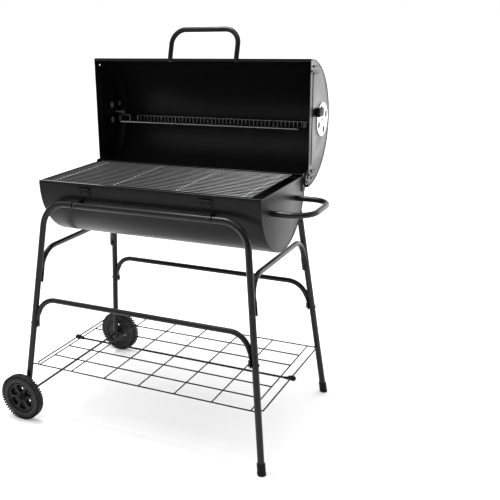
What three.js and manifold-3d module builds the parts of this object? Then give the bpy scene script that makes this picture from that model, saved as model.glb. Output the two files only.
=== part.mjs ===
// A barrel charcoal grill on a tubular stand, shown with its lid open.
//
// Millimetres, +Z up. X runs along the barrel: the wheels are at -X, and the side handle and the
// two feet are at +X. The cook stands at -Y, and the lid is hinged along the rear rim, at +Y.
// The pieces are laid out from the point on the floor under the middle of the barrel, and the
// whole grill is moved at the end, so that the origin is under the middle of its extent.

import * as THREE from "three";
import { mergeVertices } from "three/addons/utils/BufferGeometryUtils.js";
import Module from "manifold-3d";

const wasm = await Module();
wasm.setup();

// ---------------------------------------------------------------- driving dimensions

const SHEET = 1.2; // thickness of all pressed steel sheet
const GAP = 0.4; // clearance left between pieces that touch on the real grill

// bowl: a half round trough with a short upright strip under the rim
const BOWL_LENGTH = 710;
const BOWL_R = 175;
const RIM_Z = 745;
const RIM_STRIP = 11;
const RIM_FLANGE = 9; // how far the top edge of each long wall is turned in
const BOWL_AXIS_Z = RIM_Z - RIM_STRIP;

// lid: a half drum that closes outside the bowl
const LID_LENGTH = 728;
const LID_R = 185;
const LID_EDGE_Z = 733; // height of the lid's edge when it is shut
const LID_HEM = 8; // fold along the lid's two long edges
const HINGE_Y = 166.75;
const HINGE_Z = 724.25;
const OPEN_Y = HINGE_Y + (LID_EDGE_Z - HINGE_Z); // plane of the open lid's mouth
const OPEN_Z = HINGE_Z + HINGE_Y; // height of the open lid's axis

// vents in the lid's ends, measured from the mouth of the lid
const VENT_DEPTH = 118;
const VENT_R = 50;
const VENT_HOLE_R = 10.5;
const VENT_HOLE_PCD_R = 35;
const DAMPER_TURN = { left: 42, right: -23 }; // degrees from fully open, as each stands
const TAB_SIZE = [12, 25, 42]; // how far the finger tab stands out, its width and its length
const TAB_OFFSET = [-27, -45]; // middle of the tab, across and down from the vent's centre
const PIVOT_R = 3;

// stand
const LEG_R = 9.5;
const ARCH_R = 8;
const TUBE_WALL = 1.2;
const FOOT_X = 402.5;
const FOOT_Y = 275.5;
const LEAN_X = 0.1153; // a leg's inward lean for each unit of height
const LEAN_Y = 0.1202;
const RAIL_Z = 684;
const LEG_BEND_R = 78;
const RAIL_HALF = 226;
const SPACER_X = 213;
const ARCH_BEND_R = 62;
const ARCH_OFFSET = 13.5; // between a leg's centre line and the arch end cupped against it
const LONG_ARCH = { top: 388, end: 297, bolt: 307 };
const SIDE_ARCH = { top: 537, end: 436, bolt: 446 };

// wheels
const WHEEL_R = 74;
const WHEEL_WIDTH = 27;
const AXLE_R = 4;

// wire shelf
const SHELF_Z = 169.5;
const SHELF_X = 356;
const SHELF_Y = 240;
const SHELF_END_X = { left: -372, right: 387 };
const SHELF_HOOK_X = 383;
const SHELF_ROD_R = 3.2;
const SHELF_WIRE_R = 2.1;
const SHELF_BAYS = 6;

// grates and rack
const GRATE_Z = 741.6;
const GRATE_WIRE_R = 1.6;
const GRATE_CENTRE_X = -15.5;
const GRATE_LENGTH = 668;
const GRATE_WIDTH = 324;
const GRATE_WIRES = 20;
const GRATE_CROSS_PITCH = 203;
const COAL_Z = 614.4;
const COAL_LENGTH = 650;
const COAL_WIDTH = 246;
const COAL_BARS = 19;
const RACK_HALF = 309;
const RACK_PITCH = 13.5;
const RACK_DROP = 24; // height of the pivot over the rack's floor
const RACK_FRONT = -62; // front wire, measured from the pivot
const RACK_BACK = 52; // foot of the upturned rear edge, measured from the pivot
const RACK_SAG = 14; // how much lower the rear of the rack hangs
const RACK_LIP = 20;

// handles
const HANDLE_R = 8;
const LID_HANDLE_BEND_R = 45;
const SIDE_HANDLE_BEND_R = 60;
const LID_HANDLE_REACH = 93;
const LID_HANDLE_HALF = 113;
const LID_HANDLE_DEPTH = 51;
const SIDE_HANDLE_HALF = 97.5;
const SIDE_HANDLE_REACH = 108;
const SIDE_HANDLE_Z = 690;

// ---------------------------------------------------------------- materials

const paint = { color: 0x1b1b1c, roughness: 0.45, metalness: 0.3 };
const moulded = { color: 0x202021, roughness: 0.7, metalness: 0 };
const galvanised = { color: 0xd9dcdd, roughness: 0.35, metalness: 0.8 };
const chromed = { color: 0xb9bcc0, roughness: 0.25, metalness: 0.9 };
const darkWire = { color: 0x2a2a2b, roughness: 0.5, metalness: 0.4 };

const grill = new THREE.Group();

// adds one named piece, with a material of its own
function place(name, geometry, finish, parent = grill) {
  const mesh = new THREE.Mesh(geometry, new THREE.MeshStandardMaterial(finish));
  mesh.name = name;
  parent.add(mesh);
  return mesh;
}

const vec = (x, y, z) => new THREE.Vector3(x, y, z);
const SIDES = [["left", -1], ["right", 1]];
const ENDS = [["front", -1], ["rear", 1]];

// ---------------------------------------------------------------- solids and booleans

function toSolid(geometry) {
  const bare = geometry.clone();
  bare.deleteAttribute("normal");
  bare.deleteAttribute("uv");
  const merged = mergeVertices(bare, 1e-4);
  return new wasm.Manifold(new wasm.Mesh({
    numProp: 3,
    vertProperties: new Float32Array(merged.attributes.position.array),
    triVerts: new Uint32Array(merged.index.array),
  }));
}

function toGeometry(solid) {
  const mesh = solid.getMesh();
  const geometry = new THREE.BufferGeometry();
  geometry.setAttribute("position", new THREE.BufferAttribute(new Float32Array(mesh.vertProperties), 3));
  geometry.setIndex(new THREE.BufferAttribute(new Uint32Array(mesh.triVerts), 1));
  geometry.computeVertexNormals();
  return geometry;
}

function join(geometries) {
  let solids = geometries.map(toSolid);
  while (solids.length > 1) {
    const next = [];
    for (let i = 0; i < solids.length; i += 2) {
      next.push(i + 1 < solids.length ? solids[i].add(solids[i + 1]) : solids[i]);
    }
    solids = next;
  }
  return toGeometry(solids[0]);
}

function cut(geometry, tools) {
  let solid = toSolid(geometry);
  for (const tool of tools) {
    solid = solid.subtract(toSolid(tool));
  }
  return toGeometry(solid);
}

// a block given by its two opposite corners
function block(low, high) {
  const size = vec(...high).sub(vec(...low));
  const middle = vec(...low).add(vec(...high)).multiplyScalar(0.5);
  return new THREE.BoxGeometry(size.x, size.y, size.z).translate(middle.x, middle.y, middle.z);
}

// a round bar between two points
function bar(from, to, radius, sides = 16) {
  const along = to.clone().sub(from);
  const geometry = new THREE.CylinderGeometry(radius, radius, along.length(), sides);
  const turn = new THREE.Quaternion().setFromUnitVectors(vec(0, 1, 0), along.clone().normalize());
  const middle = from.clone().add(to).multiplyScalar(0.5);
  return geometry.applyQuaternion(turn).translate(middle.x, middle.y, middle.z);
}

// a turned piece: profile pairs of radius and height, about a line from base along axis
function turned(profile, base, axis, segments = 24) {
  const geometry = new THREE.LatheGeometry(profile.map(([r, h]) => new THREE.Vector2(r, h)), segments);
  const turn = new THREE.Quaternion().setFromUnitVectors(vec(0, 1, 0), axis.clone().normalize());
  return geometry.applyQuaternion(turn).translate(base.x, base.y, base.z);
}

// a flat piece cut from a y-z outline, between two x planes
function plateYZ(outline, xLow, xHigh, curveSegments = 24) {
  const geometry = new THREE.ExtrudeGeometry(outline, {
    depth: xHigh - xLow, bevelEnabled: false, curveSegments,
  });
  const axes = new THREE.Matrix4().makeBasis(vec(0, 1, 0), vec(0, 0, 1), vec(1, 0, 0));
  return geometry.applyMatrix4(axes).translate(xLow, 0, 0);
}

// ---------------------------------------------------------------- bent tube

// straight runs between corner points, with a round bend of one radius at each inner corner
class BentRoute extends THREE.Curve {
  constructor(corners, bendRadius, bendSteps = 5) {
    super();
    this.stations = [];
    const count = corners.length;
    const heading = (i) => corners[i + 1].clone().sub(corners[i]).normalize();
    this.addStation(corners[0], heading(0));
    for (let i = 1; i < count - 1; i += 1) {
      this.addBend(corners[i], heading(i - 1), heading(i), bendRadius, bendSteps);
    }
    this.addStation(corners[count - 1], heading(count - 2));
  }

  addStation(point, tangent) {
    this.stations.push({ point: point.clone(), tangent: tangent.clone() });
  }

  addBend(corner, arriving, leaving, radius, steps) {
    const angle = arriving.angleTo(leaving);
    const reach = radius * Math.tan(angle / 2);
    const start = corner.clone().addScaledVector(arriving, -reach);
    const inward = leaving.clone().addScaledVector(arriving, -leaving.dot(arriving)).normalize();
    for (let k = 0; k <= steps; k += 1) {
      const a = (angle * k) / steps;
      const point = start.clone()
        .addScaledVector(arriving, radius * Math.sin(a))
        .addScaledVector(inward, radius * (1 - Math.cos(a)));
      const tangent = arriving.clone().multiplyScalar(Math.cos(a)).addScaledVector(inward, Math.sin(a));
      this.addStation(point, tangent);
    }
  }

  get steps() {
    return this.stations.length - 1;
  }

  nearest(t) {
    return this.stations[Math.round(t * this.steps)];
  }

  getPoint(t, target = new THREE.Vector3()) {
    return target.copy(this.nearest(t).point);
  }

  getTangentAt(t, target = new THREE.Vector3()) {
    return target.copy(this.nearest(t).tangent);
  }

  getSpacedPoints() {
    return this.stations.map((station) => station.point.clone());
  }
}

function ringPoints(radius, sides) {
  const points = [];
  for (let i = 0; i < sides; i += 1) {
    const a = (2 * Math.PI * (i + 0.5)) / sides;
    points.push(new THREE.Vector2(radius * Math.cos(a), radius * Math.sin(a)));
  }
  return points;
}

// a tube, or a solid wire where no wall is given, swept along a route
function sweep(route, radius, wall = 0, sides = 8) {
  const section = new THREE.Shape(ringPoints(radius, sides));
  if (wall > 0) {
    section.holes.push(new THREE.Path(ringPoints(radius - wall, sides)));
  }
  return new THREE.ExtrudeGeometry(section, { extrudePath: route, steps: route.steps });
}

const tube = (corners, bendRadius, radius) => sweep(new BentRoute(corners, bendRadius), radius, TUBE_WALL);

// ---------------------------------------------------------------- bowl

// half round trough wall with turned-in top edges, open at the top, in the y-z plane
function troughOutline() {
  const inner = BOWL_R - SHEET;
  const lip = BOWL_R - RIM_FLANGE;
  const under = RIM_Z - SHEET;
  const outline = new THREE.Shape();
  outline.moveTo(-BOWL_R, RIM_Z);
  outline.lineTo(-BOWL_R, BOWL_AXIS_Z);
  outline.absarc(0, BOWL_AXIS_Z, BOWL_R, Math.PI, 2 * Math.PI, false);
  outline.lineTo(BOWL_R, RIM_Z);
  outline.lineTo(lip, RIM_Z);
  outline.lineTo(lip, under);
  outline.lineTo(inner, under);
  outline.lineTo(inner, BOWL_AXIS_Z);
  outline.absarc(0, BOWL_AXIS_Z, inner, 0, Math.PI, true);
  outline.lineTo(-inner, under);
  outline.lineTo(-lip, under);
  outline.lineTo(-lip, RIM_Z);
  return outline;
}

function bowlEndOutline(inset = 0) {
  const radius = BOWL_R - inset;
  const outline = new THREE.Shape();
  outline.moveTo(-radius, RIM_Z);
  outline.lineTo(-radius, BOWL_AXIS_Z);
  outline.absarc(0, BOWL_AXIS_Z, radius, Math.PI, 2 * Math.PI, false);
  outline.lineTo(radius, RIM_Z);
  return outline;
}

function addBowl() {
  const half = BOWL_LENGTH / 2;
  const shellHalf = half - SHEET - GAP;
  place("bowl_shell", plateYZ(troughOutline(), -shellHalf, shellHalf, 36), paint);
  for (const [side, s] of SIDES) {
    const outer = s * half;
    const inner = s * (half - SHEET);
    const plate = plateYZ(bowlEndOutline(), Math.min(outer, inner), Math.max(outer, inner), 36);
    const pivotHole = bar(
      vec(s * (half - 10), HINGE_Y, HINGE_Z), vec(s * (half + 10), HINGE_Y, HINGE_Z), PIVOT_R + GAP,
    );
    place(`bowl_end_${side}`, cut(plate, [pivotHole]), paint);
  }
}

// angle that the shut lid's front edge rests on
function addLidRests() {
  const halfWidth = 21.5;
  const middleX = 195;
  const top = LID_EDGE_Z - GAP;
  const back = -BOWL_R - GAP;
  const drop = 22;
  const shelf = 14;
  const thick = 1.5;
  for (const [side, s] of SIDES) {
    const x = s * middleX;
    const upright = block([x - halfWidth, back - thick, top - drop], [x + halfWidth, back, top]);
    const ledge = block([x - halfWidth, back - shelf, top - thick], [x + halfWidth, back, top]);
    place(`lid_rest_${side}`, join([upright, ledge]), paint);
  }
}

// angle strips inside the long walls, which carry the cooking grate
function addGrateLedges() {
  const halfLength = 338;
  const top = GRATE_Z - 3 * GRATE_WIRE_R - GAP;
  const thick = 1.5;
  const wallY = BOWL_R - SHEET - 3 * GAP;
  const reach = 22;
  const drop = 15;
  for (const [end, e] of ENDS) {
    const near = e * wallY;
    const lip = e * (wallY - reach);
    const hang = e * (wallY - thick);
    const low = Math.min(near, lip);
    const high = Math.max(near, lip);
    const flat = block([-halfLength, low, top - thick], [halfLength, high, top]);
    const upright = block(
      [-halfLength, Math.min(near, hang), top - drop],
      [halfLength, Math.max(near, hang), top],
    );
    place(`grate_ledge_${end}`, join([flat, upright]), paint);
  }
}

function addSideHandle() {
  const base = BOWL_LENGTH / 2 + GAP;
  const tip = base + SIDE_HANDLE_REACH;
  const corners = [
    vec(base, -SIDE_HANDLE_HALF, SIDE_HANDLE_Z),
    vec(tip, -SIDE_HANDLE_HALF, SIDE_HANDLE_Z),
    vec(tip, SIDE_HANDLE_HALF, SIDE_HANDLE_Z),
    vec(base, SIDE_HANDLE_HALF, SIDE_HANDLE_Z),
  ];
  place("side_handle", tube(corners, SIDE_HANDLE_BEND_R, HANDLE_R), paint);
}

// ---------------------------------------------------------------- grates

// a square wire along X or Y, turned on edge so that welded wires bite into each other
function wireX(x0, x1, y, z, r) {
  return block([x0, y - r, z - r], [x1, y + r, z + r]);
}

function wireY(y0, y1, x, z, r) {
  return block([x - r, y0, z - r], [x + r, y1, z + r]);
}

function addCookingGrate() {
  const half = GRATE_LENGTH / 2;
  const pitch = (GRATE_WIDTH - 2 * GRATE_WIRE_R) / (GRATE_WIRES - 1);
  const firstY = -(GRATE_WIDTH / 2) + GRATE_WIRE_R;
  const wires = [];
  for (let i = 0; i < GRATE_WIRES; i += 1) {
    const y = firstY + i * pitch;
    wires.push(wireX(GRATE_CENTRE_X - half, GRATE_CENTRE_X + half, y, GRATE_Z, GRATE_WIRE_R));
  }
  const crossZ = GRATE_Z - 1.9 * GRATE_WIRE_R;
  for (let i = 0; i < 4; i += 1) {
    const x = GRATE_CENTRE_X + (i - 1.5) * GRATE_CROSS_PITCH;
    wires.push(wireY(-GRATE_WIDTH / 2, GRATE_WIDTH / 2, x, crossZ, GRATE_WIRE_R));
  }
  place("cooking_grate", join(wires), chromed);
}

function addCharcoalGrate() {
  const half = COAL_LENGTH / 2;
  const r = 2.5;
  const bars = [];
  const railY = [-0.5, 0, 0.5].map((k) => k * (COAL_WIDTH - 40));
  for (const y of railY) {
    bars.push(wireX(-half, half, y, COAL_Z - 1.9 * r, r));
  }
  const pitch = (COAL_LENGTH - 2 * r) / (COAL_BARS - 1);
  for (let i = 0; i < COAL_BARS; i += 1) {
    bars.push(wireY(-COAL_WIDTH / 2, COAL_WIDTH / 2, -half + r + i * pitch, COAL_Z, r));
  }
  place("charcoal_grate", join(bars), darkWire);
}

// ---------------------------------------------------------------- lid, shown open

// the lid is drawn shut, about its own axis at the height of its mouth, then turned open
const lidGroup = new THREE.Group();
lidGroup.position.set(0, OPEN_Y, OPEN_Z);
lidGroup.rotation.x = -Math.PI / 2;
grill.add(lidGroup);

function lidShellOutline() {
  const inner = LID_R - SHEET;
  const hemInner = LID_R - LID_HEM;
  const outline = new THREE.Shape();
  outline.moveTo(LID_R, 0);
  outline.absarc(0, 0, LID_R, 0, Math.PI, false);
  outline.lineTo(-hemInner, 0);
  outline.lineTo(-hemInner, SHEET);
  outline.lineTo(-Math.sqrt(inner * inner - SHEET * SHEET), SHEET);
  outline.absarc(0, 0, inner, Math.PI - SHEET / inner, SHEET / inner, true);
  outline.lineTo(hemInner, SHEET);
  outline.lineTo(hemInner, 0);
  return outline;
}

function roundHole(y, z, radius, sides) {
  return new THREE.Path(ringPoints(radius, sides).map((point) => point.add(new THREE.Vector2(y, z))));
}

// four air holes on a circle about the vent's centre, the first at an angle in degrees
function airHoles(firstAngle, centreY, centreZ) {
  const holes = [];
  for (let k = 0; k < 4; k += 1) {
    const a = THREE.MathUtils.degToRad(firstAngle + 90 * k);
    holes.push(roundHole(
      centreY + VENT_HOLE_PCD_R * Math.cos(a),
      centreZ + VENT_HOLE_PCD_R * Math.sin(a),
      VENT_HOLE_R,
      16,
    ));
  }
  return holes;
}

// three fixing holes near each corner of a lid end; the rear ones take the hinge plate
const CORNER_HOLES = [[162, 30], [150, 12], [142, 32]];

function lidEndOutline() {
  const outline = new THREE.Shape();
  outline.moveTo(LID_R, 0);
  outline.absarc(0, 0, LID_R, 0, Math.PI, false);
  outline.holes.push(roundHole(0, VENT_DEPTH, PIVOT_R + GAP, 10));
  for (const hole of airHoles(45, 0, VENT_DEPTH)) {
    outline.holes.push(hole);
  }
  for (const [y, z] of CORNER_HOLES) {
    outline.holes.push(roundHole(-y, z, 3, 6));
    outline.holes.push(roundHole(y, z, 3, 6));
  }
  return outline;
}

function addLid() {
  const half = LID_LENGTH / 2;
  const shellHalf = half - SHEET - GAP;
  place("lid_shell", plateYZ(lidShellOutline(), -shellHalf, shellHalf, 36), paint, lidGroup);
  for (const [side, s] of SIDES) {
    const low = Math.min(s * half, s * (half - SHEET));
    place(`lid_end_${side}`, plateYZ(lidEndOutline(), low, low + SHEET, 18), paint, lidGroup);
  }
}

function addLidHandle() {
  const reach = Math.asin(LID_HANDLE_DEPTH / LID_R);
  const outward = vec(0, -Math.cos(reach), Math.sin(reach));
  const at = (x, distance) => outward.clone().multiplyScalar(LID_R + distance).setX(x);
  const corners = [
    at(-LID_HANDLE_HALF, GAP),
    at(-LID_HANDLE_HALF, LID_HANDLE_REACH),
    at(LID_HANDLE_HALF, LID_HANDLE_REACH),
    at(LID_HANDLE_HALF, GAP),
  ];
  place("lid_handle", tube(corners, LID_HANDLE_BEND_R, HANDLE_R), paint, lidGroup);
}

// a plate on each end of the bowl and one inside each end of the lid, on a shared pivot bolt
function addHinges() {
  const pivotY = HINGE_Y;
  const pivotZ = HINGE_Z - LID_EDGE_Z;
  const thick = 2;
  const bowlFace = BOWL_LENGTH / 2 + GAP;
  const lidFace = LID_LENGTH / 2 - SHEET - GAP;
  const pivotHole = () => roundHole(0, 0, PIVOT_R + GAP, 10);

  const bowlPlate = new THREE.Shape();
  bowlPlate.absarc(2, -21, 6, 1.5 * Math.PI, 2 * Math.PI, false);
  bowlPlate.absarc(2, 21, 6, 0, 0.5 * Math.PI, false);
  bowlPlate.absarc(-14, 21, 6, 0.5 * Math.PI, Math.PI, false);
  bowlPlate.absarc(-14, -21, 6, Math.PI, 1.5 * Math.PI, false);
  bowlPlate.holes.push(pivotHole());

  const lidPlate = new THREE.Shape();
  lidPlate.absarc(-1, -2, 10, 1.5 * Math.PI, 2 * Math.PI, false);
  lidPlate.lineTo(9, 16);
  lidPlate.lineTo(-6, 48);
  lidPlate.lineTo(-34, 48);
  lidPlate.lineTo(-34, 14);
  lidPlate.absarc(-8, -2, 10, Math.PI, 1.5 * Math.PI, false);
  lidPlate.holes.push(pivotHole());

  for (const [side, s] of SIDES) {
    const bowlLow = s > 0 ? bowlFace : -bowlFace - thick;
    const fixed = plateYZ(bowlPlate, bowlLow, bowlLow + thick, 4).translate(0, HINGE_Y, HINGE_Z);
    place(`hinge_plate_bowl_${side}`, fixed, paint);
    const lidLow = s > 0 ? lidFace - thick : -lidFace;
    const moving = plateYZ(lidPlate, lidLow, lidLow + thick, 6).translate(0, pivotY, pivotZ);
    place(`hinge_plate_lid_${side}`, moving, paint, lidGroup);

    const inside = BOWL_LENGTH / 2 - SHEET - GAP;
    const reach = LID_LENGTH / 2 - SHEET - inside;
    const profile = [
      [0, -3], [6, -3], [6, 0], [PIVOT_R, 0], [PIVOT_R, reach],
      [8, reach], [8, reach + 1], [5.5, reach + 1], [4.5, reach + 4], [0, reach + 4],
    ];
    const bolt = turned(profile, vec(s * inside, HINGE_Y, HINGE_Z), vec(s, 0, 0), 16);
    place(`hinge_bolt_${side}`, bolt, galvanised);
  }
}

// ---------------------------------------------------------------- vents

function addVents() {
  const capFace = LID_LENGTH / 2;
  const discIn = capFace + GAP;
  const discOut = discIn + SHEET;
  const washer = 2;
  for (const [side, s] of SIDES) {
    const low = Math.min(s * discIn, s * discOut);
    const disc = new THREE.Shape();
    disc.absarc(0, VENT_DEPTH, VENT_R, 0, 2 * Math.PI, false);
    disc.holes.push(roundHole(0, VENT_DEPTH, PIVOT_R + GAP, 10));
    for (const hole of airHoles(45 + DAMPER_TURN[side], 0, VENT_DEPTH)) {
      disc.holes.push(hole);
    }
    place(`damper_${side}`, plateYZ(disc, low, low + SHEET, 16), galvanised, lidGroup);

    const [across, down] = TAB_OFFSET;
    const grip = new THREE.BoxGeometry(...TAB_SIZE)
      .translate(s * (discOut + GAP + TAB_SIZE[0] / 2), across, VENT_DEPTH + down);
    place(`damper_tab_${side}`, grip, moulded, lidGroup);

    const tip = capFace - 33;
    const base = vec(s * tip, 0, VENT_DEPTH);
    const span = discOut + GAP - tip;
    const profile = [
      [0, 0], [6, 0], [6, 4], [PIVOT_R, 4], [PIVOT_R, span],
      [7, span], [6, span + washer], [3, span + 3.2], [0, span + 3.2],
    ];
    place(`vent_bolt_${side}`, turned(profile, base, vec(s, 0, 0), 16), galvanised, lidGroup);
  }
}

// ---------------------------------------------------------------- warming rack

// wire shelf that hangs level from the two vent bolts, with an upturned rear edge
function addWarmingRack() {
  const pivot = vec(0, OPEN_Y + VENT_DEPTH, OPEN_Z);
  const r = 1.3;
  const floorZ = (y) => pivot.z - RACK_DROP - (RACK_SAG * (y - RACK_FRONT)) / (RACK_BACK - RACK_FRONT);
  const frontY = pivot.y + RACK_FRONT;
  const backY = pivot.y + RACK_BACK;
  const frontZ = floorZ(RACK_FRONT);
  const backZ = floorZ(RACK_BACK);
  const pieces = [];
  const along = (y, z, radius) => bar(vec(-RACK_HALF, y, z), vec(RACK_HALF, y, z), radius, 4);
  pieces.push(along(frontY, frontZ, 2.2));
  pieces.push(along(backY, backZ + RACK_LIP, 1.6));
  const count = Math.floor((2 * (RACK_HALF - 6)) / RACK_PITCH);
  const first = -(count * RACK_PITCH) / 2;
  for (let i = 0; i <= count; i += 1) {
    const x = first + i * RACK_PITCH;
    const route = new BentRoute(
      [vec(x, frontY, frontZ), vec(x, backY, backZ), vec(x, backY, backZ + RACK_LIP)], 3, 1,
    );
    pieces.push(sweep(route, r, 0, 4));
  }
  const eyeX = LID_LENGTH / 2 - 33 + 8;
  for (const s of [-1, 1]) {
    const x = s * RACK_HALF;
    const rung = [vec(x, frontY, frontZ), vec(x, backY, backZ), vec(x, backY, backZ + RACK_LIP)];
    pieces.push(sweep(new BentRoute(rung, 4, 2), 2.2, 0, 6));
    const footZ = (frontZ + backZ) / 2 - 1;
    const hanger = [
      vec(x, pivot.y, footZ),
      vec(x, pivot.y, pivot.z - 10),
      vec(s * eyeX, pivot.y, pivot.z - 10),
      vec(s * eyeX, pivot.y, pivot.z - 5),
    ];
    pieces.push(sweep(new BentRoute(hanger, 3, 2), 2, 0, 6));
    const eye = new THREE.TorusGeometry(PIVOT_R + 2.6, 1.8, 6, 16).rotateY(Math.PI / 2)
      .translate(s * eyeX, pivot.y, pivot.z);
    pieces.push(eye);
  }
  place("warming_rack", join(pieces), chromed);
}

// ---------------------------------------------------------------- stand

// centre line of a leg at a height, for a corner given by its signs
const legX = (z) => FOOT_X - LEAN_X * z;
const legY = (z) => FOOT_Y - LEAN_Y * z;

function addLegs() {
  const capDepth = 8.5;
  const wheelEnd = WHEEL_R - 20;
  for (const [end, e] of ENDS) {
    for (const [side, s] of SIDES) {
      const lowZ = s < 0 ? wheelEnd : capDepth;
      const at = (z) => vec(s * legX(z), e * legY(z), z);
      const railY = e * legY(RAIL_Z);
      const corners = [at(lowZ), at(RAIL_Z), vec(s * RAIL_HALF, railY, RAIL_Z)];
      let leg = tube(corners, LEG_BEND_R, LEG_R);
      if (s < 0) {
        const hole = bar(
          vec(s * legX(WHEEL_R), e * (FOOT_Y - 60), WHEEL_R),
          vec(s * legX(WHEEL_R), e * (FOOT_Y + 40), WHEEL_R),
          AXLE_R + GAP, 12,
        );
        leg = cut(leg, [hole]);
      }
      place(`leg_${end}_${side}`, leg, paint);
    }
    const y = e * legY(RAIL_Z);
    const railEnd = RAIL_HALF - GAP;
    place(`top_rail_${end}`, tube([vec(-railEnd, y, RAIL_Z), vec(railEnd, y, RAIL_Z)], 0, LEG_R), paint);
  }
}

// short posts that bolt the bowl to the top rails, shaped to the bowl at their inner ends
function addSpacers() {
  const bowlDrum = bar(vec(-400, 0, BOWL_AXIS_Z), vec(400, 0, BOWL_AXIS_Z), BOWL_R + GAP, 72);
  for (const [end, e] of ENDS) {
    for (const [side, s] of SIDES) {
      const outer = e * (legY(RAIL_Z) - LEG_R - GAP);
      const inner = e * (BOWL_R - 16);
      const post = bar(vec(s * SPACER_X, outer, RAIL_Z), vec(s * SPACER_X, inner, RAIL_Z), 8, 16);
      place(`bowl_spacer_${end}_${side}`, cut(post, [bowlDrum]), paint);
    }
  }
}

// an arch between two legs, its ends cupped against them
function archBetween(at, legAt, { top, end }) {
  const arch = tube([at(-1, end), at(-1, top), at(1, top), at(1, end)], ARCH_BEND_R, ARCH_R);
  const legs = [-1, 1].map((k) => bar(legAt(k, end - 60), legAt(k, top + 40), LEG_R + GAP, 24));
  return cut(arch, legs);
}

function addArches() {
  for (const [end, e] of ENDS) {
    const at = (s, z) => vec(s * (legX(z) - ARCH_OFFSET), e * legY(z), z);
    const legAt = (s, z) => vec(s * legX(z), e * legY(z), z);
    place(`long_arch_${end}`, archBetween(at, legAt, LONG_ARCH), paint);
  }
  for (const [side, s] of SIDES) {
    const at = (e, z) => vec(s * legX(z), e * (legY(z) - ARCH_OFFSET), z);
    const legAt = (e, z) => vec(s * legX(z), e * legY(z), z);
    place(`side_arch_${side}`, archBetween(at, legAt, SIDE_ARCH), paint);
  }
}

// wing nut on the arch's inner face, with the end of its bolt
function wingNut(at, inward) {
  const body = turned([[0, 0], [5, 0], [4, 5], [0, 5]], at, inward, 12);
  const wing = new THREE.BoxGeometry(2.4, 8, 20);
  const turn = new THREE.Quaternion().setFromUnitVectors(vec(0, 1, 0), inward);
  wing.translate(0, 4.5, 0).applyQuaternion(turn).translate(at.x, at.y, at.z);
  return join([body, wing]);
}

function addWingNuts() {
  for (const [end, e] of ENDS) {
    for (const [side, s] of SIDES) {
      const reach = ARCH_OFFSET + ARCH_R + GAP;
      const z1 = LONG_ARCH.bolt;
      const longAt = vec(s * (legX(z1) - reach), e * legY(z1), z1);
      place(`wing_nut_long_${end}_${side}`, wingNut(longAt, vec(-s, 0, 0)), paint);
      const z2 = SIDE_ARCH.bolt;
      const sideAt = vec(s * legX(z2), e * (legY(z2) - reach), z2);
      place(`wing_nut_side_${end}_${side}`, wingNut(sideAt, vec(0, -e, 0)), paint);
    }
  }
}

// plastic cup on the end of each leg at the handle end, standing flat on the floor
function addFootCaps() {
  const outer = 12.5;
  const bore = LEG_R + 2 * GAP;
  const floor = 6;
  const height = 34;
  const profile = [
    [0, 0], [outer - 1.5, 0], [outer, 1.5], [outer, height], [bore, height], [bore, floor], [0, floor],
  ];
  for (const [end, e] of ENDS) {
    const lean = new THREE.Matrix4().set(
      1, 0, -LEAN_X, FOOT_X,
      0, 1, -e * LEAN_Y, e * FOOT_Y,
      0, 0, 1, 0,
      0, 0, 0, 1,
    );
    const cap = turned(profile, vec(0, 0, 0), vec(0, 0, 1), 20).applyMatrix4(lean);
    place(`foot_cap_${end}`, cap, moulded);
  }
}

// ---------------------------------------------------------------- wheels

const axleX = -legX(WHEEL_R);
const wheelInnerY = legY(WHEEL_R) + LEG_R + 5;
const wheelOuterY = wheelInnerY + WHEEL_WIDTH;

// turned wheel with six pockets in its outer face, every other one with a small hole through the web
function wheelGeometry(e) {
  const w = WHEEL_WIDTH;
  const bore = AXLE_R + GAP;
  const hub = 15;
  const dish = 48;
  const pocketFloor = 11;
  const profile = [
    [bore, -3], [hub - 3, -3], [hub, 4], [dish + 4, 4], [dish + 8, 1], [WHEEL_R - 6, 1],
    [WHEEL_R, 3.5], [WHEEL_R, w - 3.5], [WHEEL_R - 6, w - 1], [dish + 2, w], [dish, w - 3],
    [dish - 2, w - 8], [hub + 3, w - 8], [hub, w - 2], [bore, w - 2], [bore, -3],
  ];
  const body = turned(profile, vec(axleX, e * wheelInnerY, WHEEL_R), vec(0, e, 0), 36);
  const tools = [];
  for (let k = 0; k < 6; k += 1) {
    const middle = THREE.MathUtils.degToRad(34 + 60 * k);
    const spread = THREE.MathUtils.degToRad(20);
    const pocket = new THREE.Shape();
    pocket.absarc(0, 0, dish - 8, middle - spread, middle + spread, false);
    pocket.absarc(0, 0, hub + 4, middle + spread * 0.8, middle - spread * 0.8, true);
    const cutter = new THREE.ExtrudeGeometry(pocket, { depth: 20, bevelEnabled: false, curveSegments: 4 });
    const nearest = e * (wheelInnerY + pocketFloor) + (e > 0 ? 20 : 0);
    tools.push(cutter.rotateX(Math.PI / 2).translate(axleX, nearest, WHEEL_R));
    if (k % 2 === 1) {
      const holeAt = vec(axleX + 26 * Math.cos(middle), 0, WHEEL_R + 26 * Math.sin(middle));
      tools.push(bar(
        holeAt.clone().setY(e * (wheelInnerY - 10)), holeAt.clone().setY(e * (wheelOuterY + 10)), 4, 8,
      ));
    }
  }
  return cut(body, tools);
}

function addWheels() {
  for (const [end, e] of ENDS) {
    place(`wheel_${end}`, wheelGeometry(e), moulded);
    const capProfile = [[AXLE_R, 0], [10, 0], [10, 4], [7, 8], [0, 9], [0, 6.5], [AXLE_R, 6.5], [AXLE_R, 0]];
    const base = vec(axleX, e * (wheelOuterY - 2 + 2 * GAP), WHEEL_R);
    place(`axle_cap_${end}`, turned(capProfile, base, vec(0, e, 0), 16), moulded);
  }
  const reach = wheelOuterY - 2 + 5;
  place("axle", bar(vec(axleX, -reach, WHEEL_R), vec(axleX, reach, WHEEL_R), AXLE_R - GAP / 2, 12), paint);
}

// ---------------------------------------------------------------- wire shelf

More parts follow.
